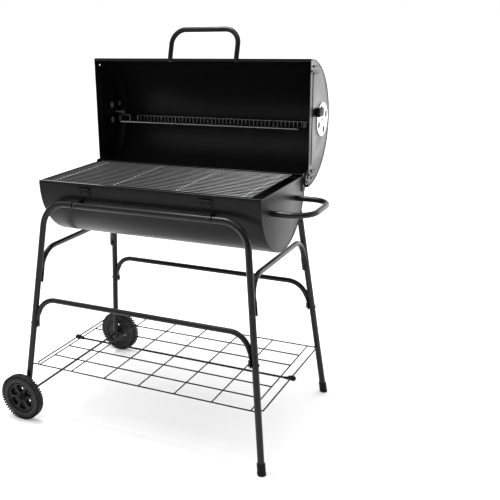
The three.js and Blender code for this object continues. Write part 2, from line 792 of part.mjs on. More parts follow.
function addShelf() {
  const r = SHELF_WIRE_R;
  const underZ = SHELF_Z - 0.8 * r;
  const endY = SHELF_Y - 14;
  const wires = [];
  const bayX = (2 * SHELF_X) / SHELF_BAYS;
  const bayY = (2 * SHELF_Y) / SHELF_BAYS;
  for (let i = 0; i <= SHELF_BAYS; i += 1) {
    const x = -SHELF_X + i * bayX;
    wires.push(bar(vec(x, -SHELF_Y, SHELF_Z), vec(x, SHELF_Y, SHELF_Z), 0.95 * r, 4));
    if (i !== 0 && i !== SHELF_BAYS && i !== SHELF_BAYS / 2) {
      const y = -SHELF_Y + i * bayY;
      wires.push(bar(vec(-SHELF_X, y, underZ), vec(SHELF_X, y, underZ), r, 4));
    }
  }
  for (const e of [-1, 1]) {
    const hookY = e * (legY(SHELF_Z) - LEG_R - GAP - 1);
    const rim = [
      vec(-SHELF_HOOK_X, hookY, underZ),
      vec(-SHELF_HOOK_X + 8, e * SHELF_Y, underZ),
      vec(SHELF_HOOK_X - 8, e * SHELF_Y, underZ),
      vec(SHELF_HOOK_X, hookY, underZ),
    ];
    wires.push(sweep(new BentRoute(rim, 3, 1), r, 0, 4));
  }
  for (const [side, s] of SIDES) {
    const endX = SHELF_END_X[side];
    const tuckX = endX - s * 9;
    const end = [
      vec(tuckX, -SHELF_Y, SHELF_Z),
      vec(endX, -endY, SHELF_Z),
      vec(endX, endY, SHELF_Z),
      vec(tuckX, SHELF_Y, SHELF_Z),
    ];
    wires.push(sweep(new BentRoute(end, 4, 1), 1.1 * r, 0, 4));
  }
  place("shelf_grid", join(wires), paint);
}

// stout rod under the middle of the shelf, with a moulded saddle over the end wire at each end
function addShelfRod() {
  const rodZ = SHELF_Z - SHELF_WIRE_R - SHELF_ROD_R - GAP;
  const rodEnd = (side, s) => SHELF_END_X[side] - s * 4;
  const left = vec(rodEnd("left", -1), 0, rodZ);
  place("shelf_rod", bar(left, vec(rodEnd("right", 1), 0, rodZ), SHELF_ROD_R, 10), paint);
  const slotR = 1.1 * SHELF_WIRE_R + GAP;
  for (const [side, s] of SIDES) {
    const x = SHELF_END_X[side];
    const saddle = block([x - 13, -8, rodZ - 5], [x + 13, 8, SHELF_Z + 7]);
    const notch = bar(vec(x, -20, SHELF_Z), vec(x, 20, SHELF_Z), slotR, 10);
    const slot = block([x - slotR, -20, SHELF_Z - 20], [x + slotR, 20, SHELF_Z]);
    const end = rodEnd(side, s);
    const socket = bar(vec(end - s * 30, 0, rodZ), vec(end + s * GAP, 0, rodZ), SHELF_ROD_R + GAP, 10);
    place(`shelf_saddle_${side}`, cut(saddle, [notch, slot, socket]), moulded);
  }
}

// ---------------------------------------------------------------- assembly

addBowl();
addLidRests();
addGrateLedges();
addSideHandle();
addCookingGrate();
addCharcoalGrate();
addLid();
addLidHandle();
addHinges();
addVents();
addWarmingRack();
addLegs();
addSpacers();
addArches();
addWingNuts();
addFootCaps();
addWheels();
addShelf();
addShelfRod();

// the part's origin is on the floor, under the middle of the whole grill's extent
const extent = new THREE.Box3().setFromObject(grill, true);
const middle = extent.getCenter(vec(0, 0, 0));
grill.position.set(-middle.x, -middle.y, 0);
const part = new THREE.Group();
part.add(grill);

export default part;
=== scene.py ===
"""The look of a barrel charcoal grill on a tubular stand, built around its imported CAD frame.

Lengths are in millimetres, measured from the point on the floor under the middle of the barrel, as
the CAD part is laid out. They become metres in the shared frame when a mesh is made. X runs along
the barrel to the side handle, Y from the cook to the lid's hinge, and Z up.
"""

from math import asin, atan2, ceil, copysign, cos, pi, radians, sin, sqrt, tan

import bmesh
import bpy
from mathutils import Matrix, Vector


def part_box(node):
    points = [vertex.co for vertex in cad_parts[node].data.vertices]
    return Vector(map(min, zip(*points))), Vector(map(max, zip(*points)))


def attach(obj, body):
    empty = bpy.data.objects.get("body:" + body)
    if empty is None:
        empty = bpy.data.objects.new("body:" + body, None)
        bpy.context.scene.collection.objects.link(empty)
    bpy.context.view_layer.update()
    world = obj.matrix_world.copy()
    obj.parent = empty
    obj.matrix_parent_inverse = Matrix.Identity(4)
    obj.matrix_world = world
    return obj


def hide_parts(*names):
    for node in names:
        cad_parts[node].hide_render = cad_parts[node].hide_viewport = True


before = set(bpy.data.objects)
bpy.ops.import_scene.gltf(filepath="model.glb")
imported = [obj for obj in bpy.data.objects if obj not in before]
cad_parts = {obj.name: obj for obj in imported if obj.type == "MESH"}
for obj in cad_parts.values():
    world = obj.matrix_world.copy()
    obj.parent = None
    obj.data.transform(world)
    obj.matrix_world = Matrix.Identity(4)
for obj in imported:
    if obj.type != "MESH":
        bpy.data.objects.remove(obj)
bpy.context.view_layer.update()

# ---------------- driving dimensions

SHEET = 1.2  # thickness of the sheet metal
GAP = 0.4  # clearance between pieces that touch

BOWL_HALF = 355
BOWL_R = 175
RIM_Z = 745
RIM_FLANGE = 9
BOWL_AXIS_Z = 734
BOWL_STEPS = 72  # straight sides in its half round

LID_HALF = 364
LID_R = 185
LID_STEPS = 84
LID_EDGE_Z = 733
LID_REST_X = 195
HINGE_Y = 166.75
HINGE_Z = 724.25
OPEN_Y = HINGE_Y + (LID_EDGE_Z - HINGE_Z)  # the mouth of the open lid
OPEN_Z = HINGE_Z + HINGE_Y  # the axis of the open lid

VENT_Y = OPEN_Y + 118
VENT_R = 50
VENT_HOLE_R = 10.5
VENT_HOLE_PCD_R = 35
VENT_HOLE_ANGLE = 45
DAMPER_TURN = {"left": 42, "right": -23}  # degrees from fully open
TAB_SIZE = (12, 25, 42)  # out from the damper, across and along
TAB_OFFSET = (-27, -45)  # across and along from the pivot
PIVOT_R = 3

LEG_R = 9.5
FOOT_X = 402.5
FOOT_Y = 275.5
LEAN_X = 0.1153  # how far a leg leans inwards as it rises
LEAN_Y = 0.1202
RAIL_Z = 684
LEG_BEND_R = 78
RAIL_HALF = 226
SPACER_X = 213
ARCH_R = 8
ARCH_FLAT = 2  # half the thickness of an arch end, where it is pressed flat
ARCH_BEND_R = 62
ARCH_OFFSET = 13.5
ARCH_FLAT_RISE = 14  # how far an arch end stays flat above its bolt
ARCH_BLEND = 30  # how far it then takes to become round
LONG_ARCH = {"top": 388, "end": 297, "bolt": 307}
SIDE_ARCH = {"top": 537, "end": 436, "bolt": 446}

WHEEL_R = 74
WHEEL_WIDTH = 27
LEG_LOW_Z = {"left": WHEEL_R - 17, "right": 8.5}
AXLE_R = 3.8

SHELF_Z = 169.5
SHELF_X = 356
SHELF_Y = 240
SHELF_END_X = {"left": -372, "right": 387}
SHELF_HOOK_X = 383
SHELF_ROD_R = 3.2
SHELF_WIRE_R = 2.1
SHELF_BAYS = 6
BULB_R = 8
BULB_HALF = 13

GRATE_Z = 741.6
GRATE_WIRE_R = 1.6
GRATE_CENTRE_X = -15.5
GRATE_LENGTH = 668
GRATE_WIDTH = 324
GRATE_WIRES = 20
GRATE_CROSS_WIRES = 4
GRATE_CROSS_PITCH = 203
COAL_Z = 614.4
COAL_LENGTH = 650
COAL_WIDTH = 246
COAL_BARS = 19
COAL_BAR_R = 2.5
RACK_HALF = 309
RACK_PITCH = 13.5
RACK_DROP = 24
RACK_FRONT_Y = VENT_Y - 62
RACK_BACK_Y = VENT_Y + 52
RACK_SAG = 14
RACK_LIP = 20

HANDLE_R = 8
LID_HANDLE_BEND_R = 45
SIDE_HANDLE_BEND_R = 60
LID_HANDLE_REACH = 93
LID_HANDLE_HALF = 113
LID_HANDLE_DEPTH = 51
SIDE_HANDLE_REACH = 107.4
SIDE_HANDLE_HALF = 97.5
SIDE_HANDLE_Z = 690

SIDES = (("left", -1), ("right", 1))
ENDS = (("front", -1), ("rear", 1))

shell_low, shell_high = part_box("bowl_shell")
BARREL = Vector(((shell_low.x + shell_high.x) / 2, (shell_low.y + shell_high.y) / 2, 0))


def in_frame(point):
    """A point in millimetres from under the barrel, in metres in the shared frame."""
    return Vector(point) / 1000 + BARREL


# ---------------- materials


def set_inputs(node, values):
    """Sets sockets of a node to constants."""
    for name, value in values.items():
        node.inputs[name].default_value = value


def new_material(name, base, roughness, wear=None, metallic=0.0, specular=0.5):
    """A material. Its wear is a noise's scale and the roughness where that is low and high."""
    material = bpy.data.materials.new(name)
    material.use_nodes = True
    set_inputs(material.node_tree.nodes["Principled BSDF"], {
        "Base Color": (*base, 1),
        "Roughness": roughness,
        "Metallic": metallic,
        "Specular IOR Level": specular,
    })
    if wear:
        scale, low, high = wear
        spread = material.node_tree.nodes.new("ShaderNodeMapRange")
        set_inputs(spread, {"From Min": 0.3, "From Max": 0.7, "To Min": low, "To Max": high})
        material.node_tree.links.new(noise(material, scale), spread.inputs["Value"])
        drive(material, "Roughness", spread.outputs["Result"])
    return material


def drive(material, socket, output):
    """Feeds an output into a socket of the material's shader."""
    shader = material.node_tree.nodes["Principled BSDF"]
    material.node_tree.links.new(output, shader.inputs[socket])


def texture(material, kind, scale):
    """A texture on the piece's own coordinates, which are in metres."""
    nodes = material.node_tree.nodes
    place = nodes.new("ShaderNodeTexCoord")
    made = nodes.new(kind)
    made.inputs["Scale"].default_value = scale
    material.node_tree.links.new(place.outputs["Object"], made.inputs["Vector"])
    return made


def noise(material, scale, detail=3.0):
    """The output of a noise texture."""
    made = texture(material, "ShaderNodeTexNoise", scale)
    made.inputs["Detail"].default_value = detail
    return made.outputs["Fac"]


def tint(material, source, dark, light):
    """Lets the source mix the base colour between two colours."""
    ramp = material.node_tree.nodes.new("ShaderNodeValToRGB")
    for element, position, colour in zip(ramp.color_ramp.elements, (0.35, 0.65), (dark, light)):
        element.position = position
        element.color = (*colour, 1)
    material.node_tree.links.new(source, ramp.inputs["Fac"])
    drive(material, "Base Color", ramp.outputs["Color"])


def relief(material, scale, depth, strength):
    """A fine bump from a noise of that scale, with its depth in metres."""
    bump = material.node_tree.nodes.new("ShaderNodeBump")
    set_inputs(bump, {"Strength": strength, "Distance": depth})
    material.node_tree.links.new(noise(material, scale, 2), bump.inputs["Height"])
    drive(material, "Normal", bump.outputs["Normal"])


STOVE_BLACK = (0.007, 0.007, 0.0072)


def satin_paint():
    """Black stove paint: satin, with a faint orange peel."""
    material = new_material("satin_black_paint", STOVE_BLACK, 0.36, (14, 0.31, 0.38), specular=0.14)
    relief(material, 900, 0.00006, 0.25)
    return material


def rim_paint():
    """The same paint where it has run thick and glossy along a turned edge."""
    return new_material("glossy_black_paint", STOVE_BLACK, 0.2, (20, 0.16, 0.24))


def tube_paint():
    """Black powder coat on the tubes: a little glossier than the sheet."""
    material = new_material("black_tube_paint", (0.006, 0.006, 0.0062), 0.3, (20, 0.26, 0.34), specular=0.25)
    relief(material, 1200, 0.00004, 0.2)
    return material


def galvanised():
    """Bright galvanised sheet with soft spangles."""
    material = new_material("galvanised_sheet", (0.8, 0.81, 0.82), 0.36, (60, 0.3, 0.42), metallic=0.75)
    spangle = texture(material, "ShaderNodeTexVoronoi", 160)
    tint(material, spangle.outputs["Distance"], (0.74, 0.75, 0.76), (0.86, 0.87, 0.88))
    return material


def chrome_painted_bright():
    """The cooking grate's cross wires: the chrome painted bright, a painted highlight."""
    return new_material("chrome_painted_bright", (0.95, 0.95, 0.95), 0.3, (80, 0.26, 0.36), metallic=0.35)


def grate_steel_painted_dark():
    """Plated wire with its base colour painted dark: painted shade for the dark bowl and lid that it
    mirrors.
    """
    return new_material("grate_steel_painted_dark", (0.115, 0.115, 0.115), 0.34, (80, 0.30, 0.38), metallic=1.0)


def rack_steel():
    """The warming rack's chrome, darkened as painted shade for the shade of the lid."""
    return new_material("rack_steel", (0.3, 0.3, 0.3), 0.3, (80, 0.24, 0.36), metallic=1.0)


def zinc():
    """Zinc plate on bolts and washers."""
    return new_material("zinc_bolt", (0.62, 0.63, 0.64), 0.32, (120, 0.28, 0.4), metallic=1.0)


def coated_wire():
    """Thin black coating on wire."""
    return new_material("black_coated_wire", (0.003, 0.003, 0.003), 0.45, (60, 0.36, 0.48), specular=0.12)


def moulded_plastic():
    """Moulded black plastic with a fine grain."""
    black = (0.005, 0.005, 0.005)
    material = new_material("moulded_black_plastic", black, 0.5, (90, 0.44, 0.56), specular=0.15)
    relief(material, 1500, 0.00005, 0.3)
    return material


def wheel_plastic():
    """Dark grey moulded wheel plastic, slightly mottled."""
    material = new_material("wheel_plastic", (0.009, 0.009, 0.009), 0.5, (70, 0.42, 0.56), specular=0.26)
    tint(material, noise(material, 45), (0.006, 0.006, 0.006), (0.012, 0.012, 0.0118))
    relief(material, 1100, 0.00008, 0.3)
    return material


# Each finish is a material and the slot that it fills.
PAINT = (satin_paint(), "black_paint")
RIM = (rim_paint(), "black_paint")
TUBE = (tube_paint(), "black_paint")
GALVANISED = (galvanised(), "galvanised_sheet")
# The chromed wire comes in three lit and shaded copies: a painted highlight on the grate's cross wires, and
# painted shade on its long wires and on the rack.
PAINTED_BRIGHT_CHROME = (chrome_painted_bright(), "chromed_wire")
GRATE = (grate_steel_painted_dark(), "chromed_wire")
RACK = (rack_steel(), "chromed_wire")
ZINC = (zinc(), "zinc_bolt")
WIRE = (coated_wire(), "black_wire")
PLASTIC = (moulded_plastic(), "black_plastic")
WHEEL = (wheel_plastic(), "wheel_plastic")

# ---------------- shapes


class Shape:
    """The vertices and faces of one piece, in millimetres."""

    def __init__(self):
        self.verts = []
        self.faces = []

    def add(self, verts, faces):
        start = len(self.verts)
        self.verts.extend(Vector(v) for v in verts)
        self.faces.extend(tuple(start + i for i in face) for face in faces)
        return self

    def moved(self, matrix):
        self.verts = [matrix @ v for v in self.verts]
        return self

    def join(self, other):
        return self.add(other.verts, other.faces)


def new_object(name, data):
    """A new object in the scene."""
    made = bpy.data.objects.new(name, data)
    bpy.context.collection.objects.link(made)
    return made


MERGE_DISTANCE = 1e-6  # metres
SHARP_ANGLE = 35  # degrees above which an edge is shaded as a corner


def make_piece(name, shape, finish, stands_for=(), body="stand"):
    """Makes a shape into an object that rides on a body and may stand for CAD nodes."""
    material, slot = finish
    mesh = bpy.data.meshes.new(name)
    mesh.from_pydata([in_frame(v) for v in shape.verts], [], shape.faces)
    work = bmesh.new()
    work.from_mesh(mesh)
    bmesh.ops.remove_doubles(work, verts=work.verts, dist=MERGE_DISTANCE)
    bmesh.ops.recalc_face_normals(work, faces=work.faces)
    work.to_mesh(mesh)
    work.free()
    mesh.materials.append(material)
    mesh.polygons.foreach_set("use_smooth", [True] * len(mesh.polygons))
    mesh.set_sharp_from_angle(angle=radians(SHARP_ANGLE))
    piece = new_object(name, mesh)
    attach(piece, body)
    if stands_for:
        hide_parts(*stands_for)


def route(corners, bend_radius, steps):
    """Stations, each a point and a heading, along straight runs with round bends between them."""
    corners = [Vector(corner) for corner in corners]
    stations = [(corners[0], (corners[1] - corners[0]).normalized())]
    for before, corner, after in zip(corners, corners[1:], corners[2:]):
        arriving = (corner - before).normalized()
        leaving = (after - corner).normalized()
        angle = arriving.angle(leaving)
        start = corner - arriving * bend_radius * tan(angle / 2)
        inward = (leaving - arriving * leaving.dot(arriving)).normalized()
        for k in range(steps + 1):
            turn = angle * k / steps
            point = start + arriving * bend_radius * sin(turn)
            point += inward * bend_radius * (1 - cos(turn))
            stations.append((point, arriving * cos(turn) + inward * sin(turn)))
    stations.append((corners[-1], (corners[-1] - corners[-2]).normalized()))
    return stations


def divided(stations, longest):
    """The same stations, with extra ones along straight runs longer than a length."""
    out = [stations[0]]
    for (a, heading_a), (b, heading_b) in zip(stations, stations[1:]):
        parts = max(1, ceil((b - a).length / longest))
        for k in range(1, parts + 1):
            out.append((a.lerp(b, k / parts), heading_a.lerp(heading_b, k / parts).normalized()))
    return out


def sweep(stations, radius, sides, flatten=None):
    """A solid round bar along the stations. flatten(point) gives a direction and a half thickness."""
    verts = []
    across = stations[0][1].orthogonal().normalized()
    heading_before = stations[0][1]
    for point, heading in stations:
        across = heading_before.rotation_difference(heading) @ across
        across = (across - heading * across.dot(heading)).normalized()
        heading_before = heading
        other = heading.cross(across)
        for k in range(sides):
            a = 2 * pi * (k + 0.5) / sides
            unit = across * cos(a) + other * sin(a)
            offset = unit * radius
            if flatten:
                direction, thickness = flatten(point)
                width = sqrt(2 * radius * radius - thickness * thickness)
                squeezed = direction * unit.dot(direction)
                offset = squeezed * thickness + (unit - squeezed) * width
            verts.append(point + offset)
    faces = []
    count = len(stations)
    for i in range(count - 1):
        for k in range(sides):
            n = (k + 1) % sides
            faces.append((i * sides + k, i * sides + n, (i + 1) * sides + n, (i + 1) * sides + k))
    faces.append(tuple(reversed(range(sides))))
    faces.append(tuple(range((count - 1) * sides, count * sides)))
    return Shape().add(verts, faces)


def bead(points, radius, sides=8):
    """A solid round bar along a fine line of points."""
    points = [Vector(p) for p in points]
    stations = []
    for i, point in enumerate(points):
        before = points[max(i - 1, 0)]
        after = points[min(i + 1, len(points) - 1)]
        stations.append((point, (after - before).normalized()))
    return sweep(stations, radius, sides)


def rod(start, end, radius, sides=12):
    """A straight round rod with slightly rounded ends."""
    start = Vector(start)
    end = Vector(end)
    length = (end - start).length
    lip = min(0.35 * radius, length / 4)
    profile = [(0, 0), (radius - lip, 0), (radius, lip)]
    profile += [(radius, length - lip), (radius - lip, length), (0, length)]
    return lathe(profile, start, end - start, sides)


ON_AXIS = 1e-6


def lathe(profile, base, axis, segments=32):
    """A turned shape: pairs of radius and height along an axis from a base point."""
    turn = Vector((0, 0, 1)).rotation_difference(Vector(axis).normalized())
    base = Vector(base)
    verts = []
    rings = []
    for radius, height in profile:
        if radius < ON_AXIS:
            rings.append([len(verts)] * segments)
            verts.append(base + turn @ Vector((0, 0, height)))
            continue
        rings.append(list(range(len(verts), len(verts) + segments)))
        for u, v in circle(0, 0, radius, segments):
            verts.append(base + turn @ Vector((u, v, height)))
    faces = []
    pairs = list(zip(rings, rings[1:]))
    if profile[0][0] > ON_AXIS and profile[-1][0] > ON_AXIS:
        pairs.append((rings[-1], rings[0]))
    for low, high in pairs:
        for k in range(segments):
            n = (k + 1) % segments
            corners = list(dict.fromkeys((low[k], low[n], high[n], high[k])))
            if len(corners) > 2:
                faces.append(tuple(corners))
    return Shape().add(verts, faces)


def block(corner, opposite, bevel, segments=2):
    """A box with rounded edges between two opposite corners."""
    middle = (Vector(corner) + Vector(opposite)) / 2
    size = [abs(a - b) for a, b in zip(corner, opposite)]
    work = bmesh.new()
    matrix = Matrix.Translation(middle) @ Matrix.Diagonal((*size, 1))
    bmesh.ops.create_cube(work, size=1, matrix=matrix)
    edges = list(work.edges)
    bmesh.ops.bevel(work, geom=edges, offset=bevel, segments=segments, profile=0.5, affect="EDGES")
    work.verts.index_update()
    verts = [v.co.copy() for v in work.verts]
    faces = [[v.index for v in face.verts] for face in work.faces]
    work.free()
    return Shape().add(verts, faces)


def circle(u, v, radius, count, start=0.0):
    """Points round a circle, from a start angle in radians."""
    points = []
    for k in range(count):
        a = start + 2 * pi * k / count
        points.append((u + radius * cos(a), v + radius * sin(a)))
    return points


def arc(u, v, radius, start_deg, end_deg, count):
    """Points along an arc, with both of its ends."""
    points = []
    for k in range(count + 1):
        a = radians(start_deg + (end_deg - start_deg) * k / count)
        points.append((u + radius * cos(a), v + radius * sin(a)))
    return points


PLATE_EDGE = 0.4  # rounding of a plate's edges

# These lay an outline drawn in a plane square to the x axis or to the y axis.
ACROSS_X = Matrix(((0, 0, 1, 0), (1, 0, 0, 0), (0, 1, 0, 0), (0, 0, 0, 1)))
ACROSS_Y = Matrix(((1, 0, 0, 0), (0, 0, 1, 0), (0, 1, 0, 0), (0, 0, 0, 1)))


def plate(loops, planes, facing=ACROSS_X, edge=PLATE_EDGE):
    """A flat piece with rounded edges, cut from an outline and holes, between two planes."""
    low, high = sorted(planes)
    curve = bpy.data.curves.new("outline", "CURVE")
    curve.dimensions = "2D"
    curve.fill_mode = "BOTH"
    curve.extrude = (high - low) / 2 - edge
    curve.bevel_depth = edge
    curve.bevel_resolution = 1
    curve.offset = -edge
    for loop in loops:
        spline = curve.splines.new("POLY")
        spline.points.add(len(loop) - 1)
        for point, (u, v) in zip(spline.points, loop):
            point.co = (u, v, 0, 1)
        spline.use_cyclic_u = True
    holder = new_object("outline", curve)
    graph = bpy.context.evaluated_depsgraph_get()
    mesh = bpy.data.meshes.new_from_object(holder.evaluated_get(graph))
    middle = Vector((0, 0, (low + high) / 2))
    verts = [facing @ (v.co + middle) for v in mesh.vertices]
    shape = Shape().add(verts, [list(face.vertices) for face in mesh.polygons])
    bpy.data.objects.remove(holder)
    bpy.data.curves.remove(curve)
    bpy.data.meshes.remove(mesh)
    return shape


def bent_sheet(pairs, low, high):
    """A sheet between two x planes, from pairs of outer and inner points in y and z."""
    outline = [outer for outer, _ in pairs] + [inner for _, inner in reversed(pairs)]
    count = len(outline)
    verts = [(x, y, z) for x in (low, high) for y, z in outline]
    faces = []
    for k in range(count):
        n = (k + 1) % count
        faces.append((k, n, count + n, count + k))
    for k in range(len(pairs) - 1):
        inner = count - 1 - k
        faces.append((k, inner, inner - 1, k + 1))
        faces.append((count + k, count + k + 1, count + inner - 1, count + inner))
    return Shape().add(verts, faces)


SUNK = 0.5  # how deep a head is set into what it holds


def round_head(base, axis, radius, height):
    """A low domed screw or rivet head."""
    wall = 0.25 * height
    dome = arc(0, 0, 1, 0, 90, 4)[1:-1]
    profile = [(0, -SUNK), (radius, -SUNK), (radius, wall)]
    profile += [(radius * u, wall + (height - wall) * v) for u, v in dome]
    return lathe(profile + [(0, height)], base, axis, 20)


def cross_head(base, axis, radius, height):
    """A pan head whose cross recess is a sunk dimple."""
    profile = [(0, -SUNK), (radius, -SUNK), (radius, 0.35 * height), (0.86 * radius, 0.8 * height)]
    profile += [(0.6 * radius, height), (0.34 * radius, height), (0.2 * radius, 0.55 * height)]
    profile += [(0, 0.5 * height)]
    return lathe(profile, base, axis, 20)


def hex_head(base, axis, flats=10, height=4.5):
    """A hexagon head with a chamfered top, on a washer."""
    corner = flats / sqrt(3)
    washer_r = corner + 2.4
    top = height + 0.6
    head = [(0, 1), (corner, 1), (corner, height), (0.86 * corner, top), (0, top)]
    washer = [(0, -0.4), (washer_r, -0.4), (washer_r, 0.8), (washer_r - 0.4, 1), (0, 1)]
    return lathe(washer, base, axis, 28).join(lathe(head, base, axis, 6))


# ---------------- bowl

SEAM_INSET = 1.3  # how far a seam lies inside the edge of its plate
SEAM_R = 1.1
SEAM_SUNK = 0.2  # how deep the middle of a seam lies in the plate


def bowl_section():
    """The bowl's wall as pairs of outer and inner points, with a turned-in flange at each rim."""
    inner_r = BOWL_R - SHEET
    under_z = RIM_Z - SHEET
    # How far the bend at the rim, and its middle, stand in from its corner: outside, then inside.
    bend, bend_middle = 0.8, 0.25
    fold, fold_middle = 0.3, 0.1
    pairs = [
        ((RIM_FLANGE - BOWL_R, RIM_Z), (RIM_FLANGE - BOWL_R, under_z)),
        ((bend - BOWL_R, RIM_Z), (fold - inner_r, under_z)),
        ((bend_middle - BOWL_R, RIM_Z - bend_middle), (fold_middle - inner_r, under_z - fold_middle)),
        ((-BOWL_R, RIM_Z - bend), (-inner_r, under_z - fold)),
    ]
    mirrored = [((-outer[0], outer[1]), (-inner[0], inner[1])) for outer, inner in reversed(pairs)]
    round_outer = arc(0, BOWL_AXIS_Z, BOWL_R, 180, 360, BOWL_STEPS)
    round_inner = arc(0, BOWL_AXIS_Z, inner_r, 180, 360, BOWL_STEPS)
    return pairs + list(zip(round_outer, round_inner)) + mirrored


def build_bowl():
    """The rolled wall, the thick glossy paint along its rims, and the two seamed ends."""
    half = BOWL_HALF - SHEET - GAP
    make_piece("bowl_wall", bent_sheet(bowl_section(), -half, half), PAINT, ["bowl_shell"])
    for end, e in ENDS:
        corner = (-half, e * (BOWL_R - RIM_FLANGE + 0.2), RIM_Z - 1)
        gloss = block(corner, (half, e * (BOWL_R - 0.2), RIM_Z + 0.8), 0.7, 3)
        make_piece(f"bowl_rim_{end}", gloss, RIM, ["bowl_shell"])
    half_round = arc(0, BOWL_AXIS_Z, BOWL_R, 180, 360, BOWL_STEPS)
    outline = [(-BOWL_R, RIM_Z)] + half_round + [(BOWL_R, RIM_Z)]
    seam_r = BOWL_R - SEAM_INSET
    corner_z = RIM_Z - 2
    seam = [(-seam_r, corner_z)] + arc(0, BOWL_AXIS_Z, seam_r, 180, 360, 60) + [(seam_r, corner_z)]
    top = [(y, RIM_Z - SEAM_INSET) for y in (2 - BOWL_R, BOWL_R - 2)]
    for side, s in SIDES:
        cap = plate([outline], (s * (BOWL_HALF - SHEET), s * BOWL_HALF))
        for line in (seam, top):
            cap.join(bead([(s * (BOWL_HALF - SEAM_SUNK), y, z) for y, z in line], SEAM_R))
        make_piece(f"bowl_cap_{side}", cap, PAINT, [f"bowl_end_{side}"])


def build_lid_rests():
    """The two folded angles on the front that the shut lid lands on, each with two screws."""
    thick = 1.5
    half_width = 21.5
    drop = 22
    shelf = 14
    screw_x = 12
    screw_drop = 13
    top = LID_EDGE_Z - GAP
    back = -BOWL_R - GAP
    for side, s in SIDES:
        middle = s * LID_REST_X
        low_x = middle - half_width
        high_x = middle + half_width
        shape = block((low_x, back - thick, top - drop), (high_x, back, top), 0.5)
        shape.join(block((low_x, back - shelf, top - thick), (high_x, back, top), 0.5))
        make_piece(f"lid_rest_angle_{side}", shape, PAINT, [f"lid_rest_{side}"])
        screws = Shape()
        for x in (middle - screw_x, middle + screw_x):
            screws.join(cross_head((x, back - thick, top - screw_drop), (0, -1, 0), 4.2, 2.6))
        make_piece(f"lid_rest_screws_{side}", screws, TUBE)


def build_side_handle():
    """The bent tube on the right end, with a bolt inside the bowl at each foot."""
    base = BOWL_HALF + GAP
    tip = base + SIDE_HANDLE_REACH
    half = SIDE_HANDLE_HALF
    z = SIDE_HANDLE_Z
    corners = [(base, -half, z), (tip, -half, z), (tip, half, z), (base, half, z)]
    shape = sweep(route(corners, SIDE_HANDLE_BEND_R, 16), HANDLE_R, 24)
    make_piece("side_handle_tube", shape, TUBE, ["side_handle"])
    bolts = Shape()
    for y in (-half, half):
        bolts.join(hex_head((BOWL_HALF - SHEET, y, z), (-1, 0, 0)))
    make_piece("side_handle_bolts", bolts, ZINC)


# ---------------- grates


def build_cooking_grate():
    """The long wires, and the cross wires welded under them."""
    half = GRATE_LENGTH / 2
    reach = GRATE_WIDTH / 2
    pitch = (GRATE_WIDTH - 2 * GRATE_WIRE_R) / (GRATE_WIRES - 1)
    low_x = GRATE_CENTRE_X - half
    high_x = GRATE_CENTRE_X + half
    shape = Shape()
    for i in range(GRATE_WIRES):
        y = GRATE_WIRE_R - reach + i * pitch
        shape.join(rod((low_x, y, GRATE_Z), (high_x, y, GRATE_Z), GRATE_WIRE_R))
    # The long wires take the darker copy of the chrome: painted shade.
    make_piece("cooking_grate_wires", shape, GRATE, ["cooking_grate"], "cooking_surface")
    cross_z = GRATE_Z - 1.4 * GRATE_WIRE_R
    cross = Shape()
    for i in range(GRATE_CROSS_WIRES):
        x = GRATE_CENTRE_X + (i - (GRATE_CROSS_WIRES - 1) / 2) * GRATE_CROSS_PITCH
        cross.join(rod((x, -reach, cross_z), (x, reach, cross_z), GRATE_WIRE_R))
    # The cross wires take the brighter copy of the chrome: a painted highlight.
    make_piece("cooking_grate_cross_wires", cross, PAINTED_BRIGHT_CHROME, ["cooking_grate"], "cooking_surface")


def build_charcoal_grate():
    """Bars across the bowl, on three bearers welded under them."""
    half = COAL_LENGTH / 2
    reach = COAL_WIDTH / 2
    r = COAL_BAR_R
    bearer_y = reach - 20
    bearer_z = COAL_Z - 1.9 * r
    shape = Shape()
    for y in (-bearer_y, 0, bearer_y):
        shape.join(rod((-half, y, bearer_z), (half, y, bearer_z), r, 10))
    pitch = (COAL_LENGTH - 2 * r) / (COAL_BARS - 1)
    for i in range(COAL_BARS):
        x = -half + r + i * pitch
        shape.join(rod((x, -reach, COAL_Z), (x, reach, COAL_Z), r, 10))
    make_piece("charcoal_grate_bars", shape, WIRE, ["charcoal_grate"], "coal_bed")


# ---------------- lid


def lid_point(x, depth, height):
    """A point on the open lid, from its depth behind the mouth and height over its axis."""
    return Vector((x, OPEN_Y + depth, OPEN_Z + height))


def build_lid_shell():
    """The lid's wall, with a hem turned in along both edges of its mouth."""
    hem = 8
    half = LID_HALF - SHEET - GAP
    outer = arc(OPEN_Y, OPEN_Z, LID_R, -90, 90, LID_STEPS)
    inner = arc(OPEN_Y, OPEN_Z, LID_R - SHEET, -90, 90, LID_STEPS)
    for k in (0, -1):
        inner[k] = (inner[k][0] + SHEET, inner[k][1])
    shape = bent_sheet(list(zip(outer, inner)), -half, half)
    for sign in (-1, 1):
        corner = lid_point(-half, 0, sign * (LID_R - hem))
        shape.join(block(corner, lid_point(half, SHEET, sign * (LID_R - 0.3)), 0.5))
    make_piece("lid_wall", shape, PAINT, ["lid_shell"], "lid")


CORNER_FIXINGS = ((162, 30), (150, 12), (142, 32))  # height from the axis, depth behind the mouth
FIXING_HOLE_R = 3
OPEN_HOLE = ("left", 1, 30)  # the side, sign and depth of the one hole without a screw


